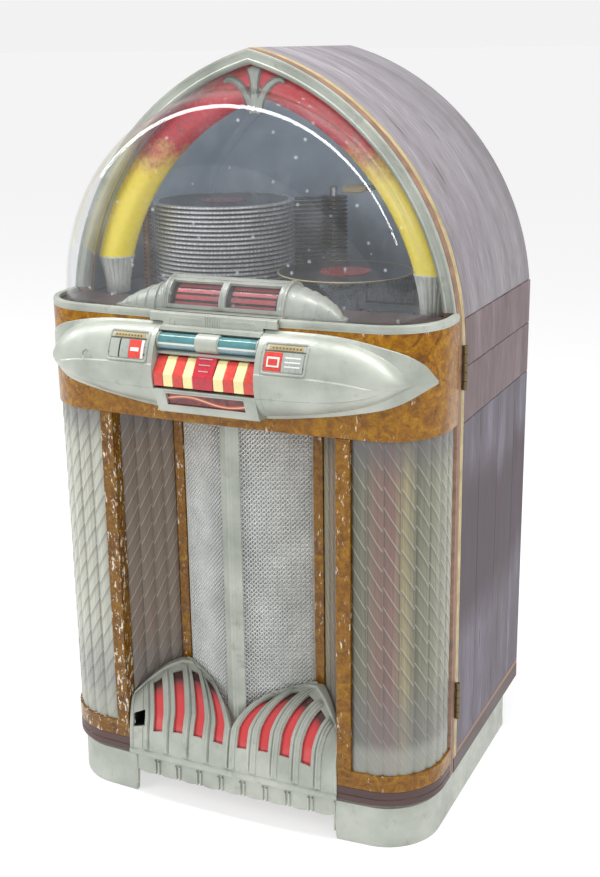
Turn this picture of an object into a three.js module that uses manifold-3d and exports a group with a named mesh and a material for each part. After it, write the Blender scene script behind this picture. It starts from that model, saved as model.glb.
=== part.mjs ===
// Floor-standing jukebox: an arched wooden cabinet with a full-height front door.
// The door carries the clear dome, the selector casting with its keys, the lit plastic
// pilasters, the speaker grille and the fan-shaped bottom casting. Behind it stand the
// record trays, the lifting turntable, the tonearm, the speaker and the amplifier.
// Millimetres, +Z up, front towards -Y. The origin is on the floor, under the middle of the box.
import * as THREE from 'three';
import { mergeVertices } from 'three/addons/utils/BufferGeometryUtils.js';
import Module from 'manifold-3d';

const wasm = await Module();
wasm.setup();

// ---- driving dimensions ------------------------------------------------------------------
const HALF_WIDTH = 390;        // cabinet half width
const CABINET_DEPTH = 442;     // from the door seam to the back
const SEAM_Y = -105;           // where the seam lies in the finished frame
const ARCH_CENTRE_Z = 920;     // height where the straight sides turn into the arch
const ARCH_CENTRE_X = 130;     // each arc is struck from this far across the middle
const ARCH_RADIUS = HALF_WIDTH + ARCH_CENTRE_X;
const BASE_TOP = 90;
const FLOOR_TOP = 120;
const WAIST_BOTTOM = 786;
const WAIST_TOP = 970;
const SILL_TOP = 984;
const GAP = 0.3;               // between touching pieces

// plan outline of the door: a shallow bow, a round corner, then straight back to the seam
const BOW_DEPTH = 178;
const BOW_RISE = 8;
const CORNER_X = 275;
const CORNER_Y = -55;
const CORNER_RADIUS = HALF_WIDTH - CORNER_X;
const DOOR_BACK = -3;          // rear face of the door frame
const FRAME_THICKNESS = 17;
const FRAME_FRONT = DOOR_BACK - FRAME_THICKNESS;

const STILE_INNER_X = 222;     // outer burl stile, from here
const STILE_OUTER_X = 248;     // to here
const INNER_STILE_X = [134.5, 153.5];
const RECESS_SIDE_Y = -70;     // where the grille meets the inner stiles
const RECESS_MID_Y = -134;     // where the two halves of the grille meet
const SHELL_BOTTOM = BASE_TOP + 1;

const SELECTOR_RIDGE_Z = 888;
const SELECTOR_NOSE_Y = -232;
const KEY_PITCH = 19.6;
const KEY_WIDTH = 18.9;
const BAR_WIDTH = 38.6;
const KEY_POCKET_X = 98.5;

const DRUM_Y = -100;
const DRUM_Z = 985;
const DRUM_RADIUS = 40;

const TRAY_RADIUS = 140;       // round tray for a 254 mm record
const TRAY_PITCH = 8.4;
const TRAY_COUNT = 24;
const STACK = [-168, 190];     // centre of the record stack, in plan
const TURNTABLE = [125, 110];   // centre of the turntable, in plan
const TRAY_POST = [21, 304];   // the post that the trays swing on, in plan
const STACK_BOTTOM = 938;
const HINGE_X = 395;
const HINGE_RADIUS = 4.5;

// ---- materials ---------------------------------------------------------------------------
const finish = (color, roughness, metalness = 0, opacity = 1) => new THREE.MeshStandardMaterial({
  color, roughness, metalness, opacity, transparent: opacity < 1,
});
const casting = finish(0xb4b9ac, 0.45, 0.6);
const burl = finish(0xb9792e, 0.35);
const sideWood = finish(0x9a929c, 0.6);
const darkWood = finish(0x4a3230, 0.5);
const blackMetal = finish(0x2a2c30, 0.5, 0.5);
const steel = finish(0xb9bcc0, 0.35, 0.9);
const cream = finish(0xe6d9a8, 0.4);
const clear = finish(0xdde6ee, 0.05, 0, 0.25);
const ribbed = finish(0xc9cbb6, 0.25, 0, 0.6);
const wire = finish(0xaab0b8, 0.4, 0.8);
const redPlastic = finish(0xc8242c, 0.3);
const yellowPlastic = finish(0xe6c81e, 0.35);
const crimson = finish(0x8e1826, 0.3);
const brass = finish(0xb08a3c, 0.4, 0.8);
const vinyl = finish(0x141416, 0.3);

// ---- solid helpers -----------------------------------------------------------------------
const v3 = (x, y, z) => new THREE.Vector3(x, y, z);

function weld(geometry) {
  const bare = geometry.clone();
  bare.deleteAttribute('normal');
  bare.deleteAttribute('uv');
  return mergeVertices(bare, 1e-4);
}

function toSolid(geometry) {
  const welded = weld(geometry);
  return new wasm.Manifold(new wasm.Mesh({
    numProp: 3,
    vertProperties: Float32Array.from(welded.attributes.position.array),
    triVerts: Uint32Array.from(welded.index.array),
  }));
}

function toGeometry(solid) {
  const mesh = solid.getMesh();
  const geometry = new THREE.BufferGeometry();
  geometry.setAttribute('position', new THREE.BufferAttribute(Float32Array.from(mesh.vertProperties), 3));
  geometry.setIndex(Array.from(mesh.triVerts));
  return geometry;
}

const join = (...pieces) => toGeometry(pieces.map(toSolid).reduce((a, b) => a.add(b)));
const cut = (piece, ...tools) => toGeometry(tools.map(toSolid).reduce((a, b) => a.subtract(b), toSolid(piece)));

// A closed mesh from vertices and faces, turned right side out.
function closedMesh(points, faces) {
  let volume = 0;
  for (const [a, b, c] of faces) {
    volume += points[a].dot(points[b].clone().cross(points[c]));
  }
  const ordered = volume < 0 ? faces.map(([a, b, c]) => [a, c, b]) : faces;
  const geometry = new THREE.BufferGeometry();
  geometry.setAttribute('position', new THREE.Float32BufferAttribute(points.flatMap((p) => p.toArray()), 3));
  geometry.setIndex(ordered.flat());
  return geometry;
}

// Triangles that fill one ring of points, running the same way round as the ring does.
function capFaces(ring) {
  const normal = v3(0, 0, 0);
  ring.forEach((p, i) => normal.add(p.clone().cross(ring[(i + 1) % ring.length])));
  const size = [Math.abs(normal.x), Math.abs(normal.y), Math.abs(normal.z)];
  const drop = size.indexOf(Math.max(...size));
  const flat = ring.map((p) => {
    const c = p.toArray();
    c.splice(drop, 1);
    return new THREE.Vector2(c[0], c[1]);
  });
  const turned = THREE.ShapeUtils.isClockWise(flat);
  const faces = THREE.ShapeUtils.triangulateShape(turned ? flat.slice().reverse() : flat, []);
  const last = ring.length - 1;
  return faces.map((face) => {
    const [a, b, c] = face.map((i) => (turned ? last - i : i)).sort((i, k) => i - k);
    return [a, b, c];
  });
}

// Skins a list of equal rings and caps both ends.
function loft(rings) {
  const n = rings[0].length;
  const faces = [];
  for (let r = 0; r < rings.length - 1; r += 1) {
    for (let i = 0; i < n; i += 1) {
      const a = r * n + i;
      const b = r * n + (i + 1) % n;
      faces.push([a, b, b + n], [a, b + n, a + n]);
    }
  }
  const last = (rings.length - 1) * n;
  faces.push(...capFaces(rings[0]).map(([a, b, c]) => [a, c, b]));
  faces.push(...capFaces(rings[rings.length - 1]).map((face) => face.map((i) => i + last)));
  return closedMesh(rings.flat(), faces);
}

// A thin closed wall between two equal grids of points.
function wall(front, back) {
  const rows = front.length;
  const cols = front[0].length;
  const points = [...front.flat(), ...back.flat()];
  const shift = rows * cols;
  const faces = [];
  const at = (r, c) => r * cols + c;
  for (let r = 0; r < rows - 1; r += 1) {
    for (let c = 0; c < cols - 1; c += 1) {
      faces.push([at(r, c), at(r, c + 1), at(r + 1, c + 1)], [at(r, c), at(r + 1, c + 1), at(r + 1, c)]);
      faces.push([shift + at(r, c), shift + at(r + 1, c + 1), shift + at(r, c + 1)]);
      faces.push([shift + at(r, c), shift + at(r + 1, c), shift + at(r + 1, c + 1)]);
    }
  }
  const rim = [];
  for (let c = 0; c < cols - 1; c += 1) rim.push([at(0, c), at(0, c + 1)]);
  for (let r = 0; r < rows - 1; r += 1) rim.push([at(r, cols - 1), at(r + 1, cols - 1)]);
  for (let c = cols - 1; c > 0; c -= 1) rim.push([at(rows - 1, c), at(rows - 1, c - 1)]);
  for (let r = rows - 1; r > 0; r -= 1) rim.push([at(r, 0), at(r - 1, 0)]);
  for (const [a, b] of rim) {
    faces.push([a, shift + a, shift + b], [a, shift + b, b]);
  }
  return closedMesh(points, faces);
}

const toShape = (points) => new THREE.Shape(points.map(([a, b]) => new THREE.Vector2(a, b)));

function prism(outline, depth, holes = []) {
  const shape = toShape(outline);
  holes.forEach((hole) => shape.holes.push(new THREE.Path(toShape(hole).getPoints())));
  return new THREE.ExtrudeGeometry(shape, { depth, bevelEnabled: false, steps: 1 });
}
const plate = (outline, z0, z1, holes) => prism(outline, z1 - z0, holes).translate(0, 0, z0);
const upright = (outline, y0, y1, holes) => prism(outline, y1 - y0, holes).rotateX(Math.PI / 2).translate(0, y1, 0);
const AXIS_X = new THREE.Matrix4().makeBasis(v3(0, 1, 0), v3(0, 0, 1), v3(1, 0, 0));
const crosswise = (outline, x0, x1) => prism(outline, x1 - x0).applyMatrix4(AXIS_X).translate(x0, 0, 0);

function box(x0, x1, y0, y1, z0, z1) {
  return new THREE.BoxGeometry(x1 - x0, y1 - y0, z1 - z0)
    .translate((x0 + x1) / 2, (y0 + y1) / 2, (z0 + z1) / 2);
}

function disc(radius, x, y, z0, z1, sides = 24, topRadius = radius) {
  return new THREE.CylinderGeometry(topRadius, radius, z1 - z0, sides)
    .rotateX(Math.PI / 2).translate(x, y, (z0 + z1) / 2);
}
const rod = (radius, x0, x1, y, z, sides = 16) => new THREE.CylinderGeometry(radius, radius, x1 - x0, sides)
  .rotateZ(Math.PI / 2).translate((x0 + x1) / 2, y, z);
const stub = (radius, x, y0, y1, z, sides = 16) => new THREE.CylinderGeometry(radius, radius, y1 - y0, sides)
  .translate(x, (y0 + y1) / 2, z);

function circle(cx, cy, radius, sides = 24) {
  return Array.from({ length: sides }, (_, i) => {
    const a = (i / sides) * 2 * Math.PI;
    return [cx + radius * Math.cos(a), cy + radius * Math.sin(a)];
  });
}
const rectangle = (x0, x1, y0, y1) => [[x0, y0], [x1, y0], [x1, y1], [x0, y1]];
const mirrored = (points) => points.map(([x, y]) => [-x, y]).reverse();
const span = (from, to, steps) => Array.from({ length: steps + 1 }, (_, i) => from + ((to - from) * i) / steps);

// ---- shared outlines ---------------------------------------------------------------------
// Front face of the door in plan at x, moved inwards by inset.
function bowY(x, inset = 0) {
  const across = Math.abs(x);
  if (across <= CORNER_X) return -(BOW_DEPTH - inset) + BOW_RISE * (across / CORNER_X) ** 2;
  const r = CORNER_RADIUS - inset;
  return CORNER_Y - Math.sqrt(Math.max(0, r * r - (across - CORNER_X) ** 2));
}

// Right half of the plan outline, from x0 round the corner to the depth yEnd.
function bowHalf(inset, yEnd, x0 = 0, arcSteps = 9) {
  const r = CORNER_RADIUS - inset;
  const bow = span(x0, CORNER_X, x0 > 200 ? 1 : 4).map((x) => [x, bowY(x, inset)]);
  const arc = span(0, 90, arcSteps).slice(1).map((deg) => {
    const a = THREE.MathUtils.degToRad(deg);
    return [CORNER_X + r * Math.sin(a), CORNER_Y - r * Math.cos(a)];
  });
  return [...bow, ...arc, [HALF_WIDTH - inset, yEnd]];
}
const bowFull = (inset, yEnd) => [...mirrored(bowHalf(inset, yEnd)).slice(0, -1), ...bowHalf(inset, yEnd)];

// A strip that follows the right half of the plan outline.
function bowStrip(inset0, inset1, x0, yEnd, z0, z1) {
  return plate([...bowHalf(inset0, yEnd, x0), ...bowHalf(inset1, yEnd, x0).reverse()], z0, z1);
}

// One point of the arch, from the foot (t = 0) to the apex (t = 1), moved inwards by inset.
function archPoint(t, inset, zFoot) {
  const r = ARCH_RADIUS - inset;
  const a0 = Math.asin(Math.max(0, zFoot - ARCH_CENTRE_Z) / r);
  const a = a0 + t * (Math.acos(ARCH_CENTRE_X / r) - a0);
  return [t === 1 ? 0 : r * Math.cos(a) - ARCH_CENTRE_X, ARCH_CENTRE_Z + r * Math.sin(a)];
}

function archHalf(inset, zFoot, steps = 12) {
  const foot = zFoot < ARCH_CENTRE_Z ? [[HALF_WIDTH - inset, zFoot]] : [];
  return [...foot, ...span(0, 1, steps).map((t) => archPoint(t, inset, zFoot))];
}
const archFull = (inset, zFoot, steps) => [
  ...archHalf(inset, zFoot, steps), ...mirrored(archHalf(inset, zFoot, steps)).slice(1),
];

// Sweeps a section, given as [inset, y] points, over the whole arch.
function archSweep(section, zFoot, steps = 12) {
  const paths = section.map(([inset]) => archFull(inset, zFoot, steps));
  const rings = paths[0].map((_, i) => section.map(([, y], k) => v3(paths[k][i][0], y, paths[k][i][1])));
  return loft(rings);
}
const archBand = (inset0, inset1, y0, y1, zFoot) => archSweep(
  [[inset0, y0], [inset0, y1], [inset1, y1], [inset1, y0]],
  zFoot,
);

// ---- cabinet -----------------------------------------------------------------------------
const SIDE_THICKNESS = 18;
const TOP_THICKNESS = 14;
const SIDE_TOP = 969;
const TRIM_DEPTH = 14.7;
const REAR_COVER_Y = [424, 434];

function baseCasting() {
  const inset = 10;
  const wallThickness = 12;
  const rearY = CABINET_DEPTH - 70;
  const body = plate(bowFull(inset, rearY), 0, BASE_TOP);
  const pocket = plate(bowFull(inset + wallThickness, rearY - wallThickness), -1, BASE_TOP - 8);
  const apronSide = 212;
  const scallops = 9;
  const pitch = (2 * apronSide) / scallops;
  const edge = span(0, scallops * 4, scallops * 4).map((i) => {
    const dip = Math.sin(((i % 4) / 4) * Math.PI);
    return [-apronSide + (i / 4) * pitch, 50 - 5 * dip];
  });
  const frontCut = upright([[-apronSide, -1], ...edge, [apronSide, -1]], -200, -100);
  const rearCut = box(-apronSide, apronSide, rearY - 40, rearY + 10, -1, 50);
  const vent = box(-200, 200, 60, 300, BASE_TOP - 20, BASE_TOP + 1);
  return cut(body, pocket, frontCut, rearCut, vent);
}

const cabinetFloor = () => plate(
  rectangle(-HALF_WIDTH, HALF_WIDTH, 0, CABINET_DEPTH),
  BASE_TOP + GAP,
  FLOOR_TOP,
  [rectangle(-180, 180, 80, 280)],
);

const sidePanel = (side) => box(
  side > 0 ? HALF_WIDTH - SIDE_THICKNESS : -HALF_WIDTH,
  side > 0 ? HALF_WIDTH : SIDE_THICKNESS - HALF_WIDTH,
  TRIM_DEPTH + GAP,
  CABINET_DEPTH,
  FLOOR_TOP + GAP,
  SIDE_TOP,
);
const archTop = () => archBand(0, TOP_THICKNESS, TRIM_DEPTH + GAP, CABINET_DEPTH, SIDE_TOP + GAP);
const seamTrim = () => archBand(0, SIDE_THICKNESS, 0, TRIM_DEPTH, FLOOR_TOP + GAP);

function ventCutters(zLow, rows) {
  const slots = [];
  for (let row = 0; row < rows; row += 1) {
    for (let col = -1; col <= 1; col += 1) {
      const z = zLow + row * 34;
      slots.push(box(col * 140 - 55, col * 140 + 55, REAR_COVER_Y[0] - 5, REAR_COVER_Y[1] + 5, z, z + 12));
    }
  }
  return slots;
}
const COVER_SPLIT = 700;
// Housing of the mains inlet on the back, with its three pin slots.
function mainsInlet() {
  const housing = box(250, 290, REAR_COVER_Y[1] - 1, CABINET_DEPTH - 1, 160, 188);
  const pins = [-9, 0, 9].map((dx) => box(269 + dx, 271 + dx, CABINET_DEPTH - 6, CABINET_DEPTH, 170, 178));
  return cut(housing, ...pins);
}
const rearCoverLower = () => join(
  cut(box(-371, 371, ...REAR_COVER_Y, FLOOR_TOP + GAP, COVER_SPLIT), ...ventCutters(520, 3)),
  mainsInlet(),
);
const rearCoverUpper = () => cut(
  upright(archFull(19, COVER_SPLIT + 2), ...REAR_COVER_Y),
  ...ventCutters(1150, 3),
);

// ---- lower cabinet -----------------------------------------------------------------------
const SPEAKER_Z = 430;
const SPEAKER_RADIUS = 150;
const BAFFLE_Y = [60, 74];
const BAFFLE_TOP = 790;
const SHELF_Z = [898, 916];

const speakerBaffle = () => upright(
  rectangle(-371, 371, FLOOR_TOP + GAP, BAFFLE_TOP),
  ...BAFFLE_Y,
  [circle(0, SPEAKER_Z, SPEAKER_RADIUS - 12)],
);

function speaker() {
  const y0 = BAFFLE_Y[1] + GAP;
  const profile = [
    [0, 48], [26, 52], [34, 60], [SPEAKER_RADIUS - 26, 6], [SPEAKER_RADIUS - 22, 0], [SPEAKER_RADIUS, 0],
    [SPEAKER_RADIUS, 8], [SPEAKER_RADIUS - 16, 12], [56, 78], [48, 92], [48, 128], [0, 128],
  ].map(([r, h]) => new THREE.Vector2(r, h));
  return new THREE.LatheGeometry(profile, 20).translate(0, y0, SPEAKER_Z);
}

function amplifierChassis() {
  const top = FLOOR_TOP + GAP + 78;
  const parts = [box(-330, -40, 250, 400, FLOOR_TOP + GAP, top)];
  [[-300, 285], [-245, 285], [-190, 285], [-135, 285]].forEach(([x, y]) => parts.push(disc(17, x, y, top - 1, top + 82, 14)));
  parts.push(box(-310, -220, 325, 390, top - 1, top + 88));
  parts.push(box(-190, -110, 330, 390, top - 1, top + 70));
  return join(...parts);
}

const mechanismShelf = () => plate(
  rectangle(-371, 371, TRIM_DEPTH + 2, REAR_COVER_Y[0] - 2),
  ...SHELF_Z,
  [circle(...TURNTABLE, 34)],
);

// ---- record mechanism --------------------------------------------------------------------
const PLATE_Z = [SHELF_Z[1] + GAP, SHELF_Z[1] + 10];
const ARM_POST = [240, 228];
const COMB = [-290, 96];
const PLATTER_Z = 1012;
const RECORD_RADIUS = 127;
const trayZ = (i) => STACK_BOTTOM + i * TRAY_PITCH;
const STACK_TOP = trayZ(TRAY_COUNT - 1);

function mechanismPlate() {
  const board = plate(rectangle(-330, 330, 40, 400), ...PLATE_Z, [circle(...TURNTABLE, 34)]);
  const trayPost = disc(9, ...TRAY_POST, PLATE_Z[1] - 1, STACK_TOP + 26, 16);
  const armPost = disc(13, ...ARM_POST, PLATE_Z[1] - 1, 1150, 16);
  const comb = box(COMB[0] - 6, COMB[0] + 6, COMB[1] - 8, COMB[1] + 8, PLATE_Z[1] - 1, STACK_TOP + 18);
  const motor = disc(42, 250, 330, PLATE_Z[1] - 1, PLATE_Z[1] + 92, 20);
  const gearCase = box(90, 200, 300, 380, PLATE_Z[1] - 1, PLATE_Z[1] + 60);
  return join(board, trayPost, armPost, comb, motor, gearCase);
}

// One tray with its record: a ring, the arm to the post and the hub on the post.
function trayParts(z) {
  const angle = Math.atan2(STACK[1] - TRAY_POST[1], STACK[0] - TRAY_POST[0]);
  const reach = Math.hypot(STACK[0] - TRAY_POST[0], STACK[1] - TRAY_POST[1]) - TRAY_RADIUS;
  const arm = new THREE.BoxGeometry(reach + 6, 30, 3)
    .translate((reach + 6) / 2 + 16, 0, 0)
    .rotateZ(angle)
    .translate(TRAY_POST[0], TRAY_POST[1], z + 1.5);
  return [disc(TRAY_RADIUS, ...STACK, z, z + 4, 20), arm];
}

const postBore = (z0, z1) => disc(9.5, ...TRAY_POST, z0, z1, 16);

function recordMagazine() {
  const hubs = disc(27, ...TRAY_POST, STACK_BOTTOM - 8, STACK_TOP - 2.5, 20);
  const trays = span(0, TRAY_COUNT - 2, TRAY_COUNT - 2).flatMap((i) => trayParts(trayZ(i)));
  return cut(join(hubs, ...trays), postBore(900, 1200));
}

function recordTray() {
  const hub = disc(27, ...TRAY_POST, STACK_TOP - 2, STACK_TOP + 6, 20);
  return cut(join(hub, ...trayParts(STACK_TOP)), postBore(900, 1200));
}

const turntableLift = () => join(
  disc(26, ...TURNTABLE, SHELF_Z[0] - 60, PLATTER_Z - 12, 20),
  disc(52, ...TURNTABLE, PLATTER_Z - 16, PLATTER_Z - 2, 24),
);

const turntablePlatter = () => join(
  disc(96, ...TURNTABLE, PLATTER_Z, PLATTER_Z + 8, 24),
  disc(RECORD_RADIUS, ...TURNTABLE, PLATTER_Z + 7.5, PLATTER_Z + 10, 28),
  disc(50, ...TURNTABLE, PLATTER_Z + 9.5, PLATTER_Z + 10.6, 16),
  disc(4, ...TURNTABLE, PLATTER_Z + 9.5, PLATTER_Z + 17, 12),
);

// The arm parks behind the record and swings forward over it.
function tonearm() {
  const z = 1164;
  const park = THREE.MathUtils.degToRad(183);
  const beam = new THREE.BoxGeometry(130, 14, 9).translate(65, 0, 0);
  const head = new THREE.BoxGeometry(46, 26, 15).translate(140, 0, -3);
  const weight = new THREE.CylinderGeometry(15, 15, 24, 16).rotateZ(Math.PI / 2).translate(-26, 0, 0);
  const collar = new THREE.CylinderGeometry(16, 16, 22, 18).rotateX(Math.PI / 2).translate(0, 0, -2);
  return join(beam, head, weight, collar).rotateZ(park).translate(ARM_POST[0], ARM_POST[1], z);
}

// ---- lights inside the arch --------------------------------------------------------------
const TUBE_INSET = 51;
const TUBE_Y = 34;
const TUBE_RADIUS = 33;
const CUP_TOP = 1041;
const CUP_BOTTOM = 968;

function archTube() {
  const section = circle(TUBE_INSET, TUBE_Y, TUBE_RADIUS, 12);
  return archSweep(section, CUP_TOP + GAP, 10);
}

function tubeCup(side) {
  const [x] = archPoint(0, TUBE_INSET, CUP_TOP);
  const profile = [[0, 0], [22, 0], [25, 24], [33, 66], [36, 73], [30, 73], [26, 62], [0, 58]]
    .map(([r, h]) => new THREE.Vector2(r, h));
  return new THREE.LatheGeometry(profile, 20).rotateX(Math.PI / 2)
    .translate(side * x, TUBE_Y, CUP_BOTTOM);
}

// Three plumes that rise from one stem and curl outwards.
function archOrnament() {
  const y0 = -6;
  const y1 = 0.6;
  const centre = upright([[-7, 1312], [7, 1312], [11, 1366], [0, 1387], [-11, 1366]], y0, y1);
  const plume = (side) => upright(
    [[0, 1318], [8, 1312], [22, 1334], [36, 1352], [58, 1362], [44, 1366], [26, 1358], [12, 1342]]
      .map(([x, z]) => [side * x, z]),
    y0,
    y1,
  );
  return join(centre, plume(1), plume(-1));
}

// ---- front door --------------------------------------------------------------------------
const DOME_INSET = 38.6;
const DOME_FOOT = 976.3;
const DOME_FRONT = BOW_DEPTH - 16;
const DOME_RIM_Y = -10;
const DOME_WALL = 4;

function doorBackFrame() {
  const outline = archFull(0.5, SHELL_BOTTOM);
  const opening = archFull(30, 126);
  return upright(outline, FRAME_FRONT, DOOR_BACK, [opening]);
}

function waistband() {
  const yEnd = FRAME_FRONT - GAP;
  const thickness = 8;
  const band = plate([...bowFull(0, yEnd), ...bowFull(thickness, yEnd).reverse()], WAIST_BOTTOM, WAIST_TOP);
  const soffit = plate(bowFull(7, yEnd), WAIST_BOTTOM, WAIST_BOTTOM + 7);
  return join(band, soffit);
}

function domeFrame() {
  const front = FRAME_FRONT - 7;
  const section = [
    [2, FRAME_FRONT - GAP], [2, front + 2], [5, front], [24, front], [38, -19], [38, -9], [31.5, -9],
    [31.5, FRAME_FRONT - GAP],
  ];
  return archSweep(section, SILL_TOP + GAP);
}

function domeSill() {
  const yEnd = FRAME_FRONT - GAP;
  const deck = plate(
    bowFull(1, yEnd),
    WAIST_TOP + GAP,
    DOME_FOOT - GAP,
    [rectangle(-112, 112, DRUM_Y - 46, DRUM_Y + 46)],
  );
  const rim = plate([...bowFull(0, yEnd), ...bowFull(11.5, yEnd).reverse()], WAIST_TOP + GAP, SILL_TOP);
  const notch = box(-125, 125, -200, -150, DOME_FOOT - GAP, SILL_TOP + 1);
  return cut(join(deck, rim), notch);
}

// The dome at height fraction h: its half width and its depth in front of the rim.
function domePoint(h, turn, shrink) {
  const foot = archPoint(0, DOME_INSET, DOME_FOOT);
  const apex = archPoint(1, DOME_INSET, DOME_FOOT);
  const z = DOME_FOOT + h * (apex[1] - DOME_FOOT);
  const r = ARCH_RADIUS - DOME_INSET;
  const rise = Math.max(0, z - ARCH_CENTRE_Z);
  const halfWidth = Math.min(foot[0], Math.sqrt(r * r - rise * rise) - ARCH_CENTRE_X);
  const depth = (DOME_FRONT + DOME_RIM_Y) * Math.sqrt(1 - h ** 2.4);
  const power = THREE.MathUtils.lerp(4.5, 2.2, Math.min(1, h * 1.4));
  const s = Math.sin(turn);
  const c = Math.cos(turn);
  const across = Math.sign(s) * Math.abs(s) ** (2 / power);
  const out = Math.abs(c) ** (2 / power);
  return v3(
    across * Math.max(1, halfWidth - shrink),
    DOME_RIM_Y - out * Math.max(1, depth - shrink),
    z - (shrink > 0 ? shrink * h * h : 0),
  );
}

function dome() {
  const heights = span(0, 1, 11).map((k) => Math.sin((k * Math.PI) / 2) * 0.985);
  const turns = span(-Math.PI / 2, Math.PI / 2, 20);
  const grid = (shrink) => heights.map((h) => turns.map((turn) => domePoint(h, turn, shrink)));
  const notch = box(-126, 126, -200, -140, DOME_FOOT - 5, SILL_TOP + GAP);
  return cut(wall(grid(0), grid(DOME_WALL)), notch);
}

// Outer stile and bottom rail, one veneered frame on each side.
function burlFrame(side) {
  const yEnd = FRAME_FRONT - GAP;
  const stileFace = [
    [STILE_INNER_X, bowY(STILE_INNER_X)], [STILE_OUTER_X, bowY(STILE_OUTER_X)],
    [STILE_OUTER_X, -143], [STILE_INNER_X, -143],
  ];
  const stile = plate(stileFace, SHELL_BOTTOM, WAIST_BOTTOM - GAP);
  const rail = bowStrip(0, 16, STILE_INNER_X, yEnd, SHELL_BOTTOM, 152);
  const frame = join(stile, rail);
  return side > 0 ? frame : flip(frame);
}

// Mirrors a piece in the plane x = 0 and turns its faces right side out again.
function flip(geometry) {
  const turned = geometry.index ? geometry.toNonIndexed() : geometry.clone();
  const position = turned.attributes.position;
  for (let i = 0; i < position.count; i += 3) {
    const corners = [0, 1, 2].map((k) => new THREE.Vector3().fromBufferAttribute(position, i + k));
    [corners[0], corners[2], corners[1]].forEach((p, k) => position.setXYZ(i + k, -p.x, p.y, p.z));
  }
  return turned;
}

function pilasterOuter(side) {
  const panel = bowStrip(5, 9, STILE_OUTER_X + 0.5, FRAME_FRONT - GAP, 152 + GAP, WAIST_BOTTOM - GAP);
  return side > 0 ? panel : flip(panel);
}

// Face of the recess between the outer stiles, in plan.
function recessY(x) {
  const across = Math.abs(x);
  if (across < INNER_STILE_X[0]) {
    return THREE.MathUtils.mapLinear(across, 0, INNER_STILE_X[0], RECESS_MID_Y, RECESS_SIDE_Y);
  }
  if (across < INNER_STILE_X[1]) return RECESS_SIDE_Y;
  return THREE.MathUtils.mapLinear(across, INNER_STILE_X[1], STILE_INNER_X, RECESS_SIDE_Y, -150);
}

function pilasterInner(side) {
  const xs = span(INNER_STILE_X[1] + 0.8, STILE_INNER_X - 0.6, 4);
  const bulge = (x) => 5 * Math.sin((Math.PI * (x - xs[0])) / (xs[4] - xs[0]));
  const front = xs.map((x) => [x, recessY(x) + 2 + bulge(x)]);
  const back = xs.map((x) => [x, recessY(x) + 7 + bulge(x)]).reverse();
  const panel = plate([...front, ...back], 200, WAIST_BOTTOM - GAP);
  return side > 0 ? panel : flip(panel);
}

const innerStile = (side) => box(
  side > 0 ? INNER_STILE_X[0] : -INNER_STILE_X[1],
  side > 0 ? INNER_STILE_X[1] : -INNER_STILE_X[0],
  RECESS_SIDE_Y + 1.5,
  RECESS_SIDE_Y + 21,
  200,
  WAIST_BOTTOM - GAP,
);

function speakerGrille() {
  const edge = INNER_STILE_X[0] - 0.6;
  const line = (shift) => [[-edge, recessY(edge) + shift], [0, recessY(0) + shift], [edge, recessY(edge) + shift]];
  return plate([...line(1.5), ...line(4.5).reverse()], 195, WAIST_BOTTOM - GAP);
}

const centreRib = () => plate(
  [[-19, -134.2], [-19, -137], [-6, -141], [6, -141], [19, -137], [19, -134.2], [0, -134.2]],
  208,
  WAIST_BOTTOM - GAP,
);

// ---- fan-shaped bottom casting -----------------------------------------------------------
const SHELL_SIDE_X = STILE_INNER_X - 0.6;
const SHELL_WALL = 6;
const FLUTES = 5;
const SHELL_CREST = new THREE.CatmullRomCurve3([
  v3(0, 186, 0), v3(58, 226, 0), v3(104, 251, 0), v3(147, 262, 0), v3(186, 246, 0), v3(SHELL_SIDE_X, 205, 0),
]);

// Point of the casting: u runs from the middle (0) to the side (1), v from the foot to the crest.
function shellPoint(u, v) {
  const crest = SHELL_CREST.getPoint(Math.min(1, Math.abs(u)));
  const side = Math.sign(u) || 1;
  const footX = SHELL_SIDE_X * Math.abs(u);
  const footY = bowY(footX) - 1;
  const crestY = recessY(crest.x) - 1;
  const a = (v * Math.PI) / 2;
  const blend = 1 - Math.cos(a);
  return v3(
    side * THREE.MathUtils.lerp(footX, crest.x, blend),
    THREE.MathUtils.lerp(footY, crestY, blend),
    SHELL_BOTTOM + (crest.y - SHELL_BOTTOM) * Math.sin(a),
  );
}

function shellNormal(u, v) {
  const step = 0.01;
  const alongU = shellPoint(u + step, v).sub(shellPoint(u - step, v));
  const alongV = shellPoint(u, Math.min(1, v + step)).sub(shellPoint(u, v - step));
  const normal = alongU.cross(alongV).normalize();
  if (normal.y > 0.2 || (Math.abs(normal.y) <= 0.2 && normal.z < 0)) normal.negate();
  return normal;
}
const shellInside = (u, v, depth) => {
  const p = shellPoint(u, v).addScaledVector(shellNormal(u, v), -depth);
  p.x = THREE.MathUtils.clamp(p.x, -SHELL_SIDE_X, SHELL_SIDE_X);
  return p;
};

// A curved slot cutter that follows one flute.
function slotCutter(u) {
  const halfWidth = 6.5;
  const rings = span(0.26, 0.82, 4).map((v) => {
    const middle = shellPoint(u, v);
    const normal = shellNormal(u, v);
    const along = shellPoint(u, v + 0.01).sub(middle).normalize();
    const across = normal.clone().cross(along).normalize();
    return [[-1, -12], [1, -12], [1, 8], [-1, 8]].map(([w, d]) => middle.clone()
      .addScaledVector(across, w * halfWidth)
      .addScaledVector(normal, d));
  });
  return loft(rings);
}

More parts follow.
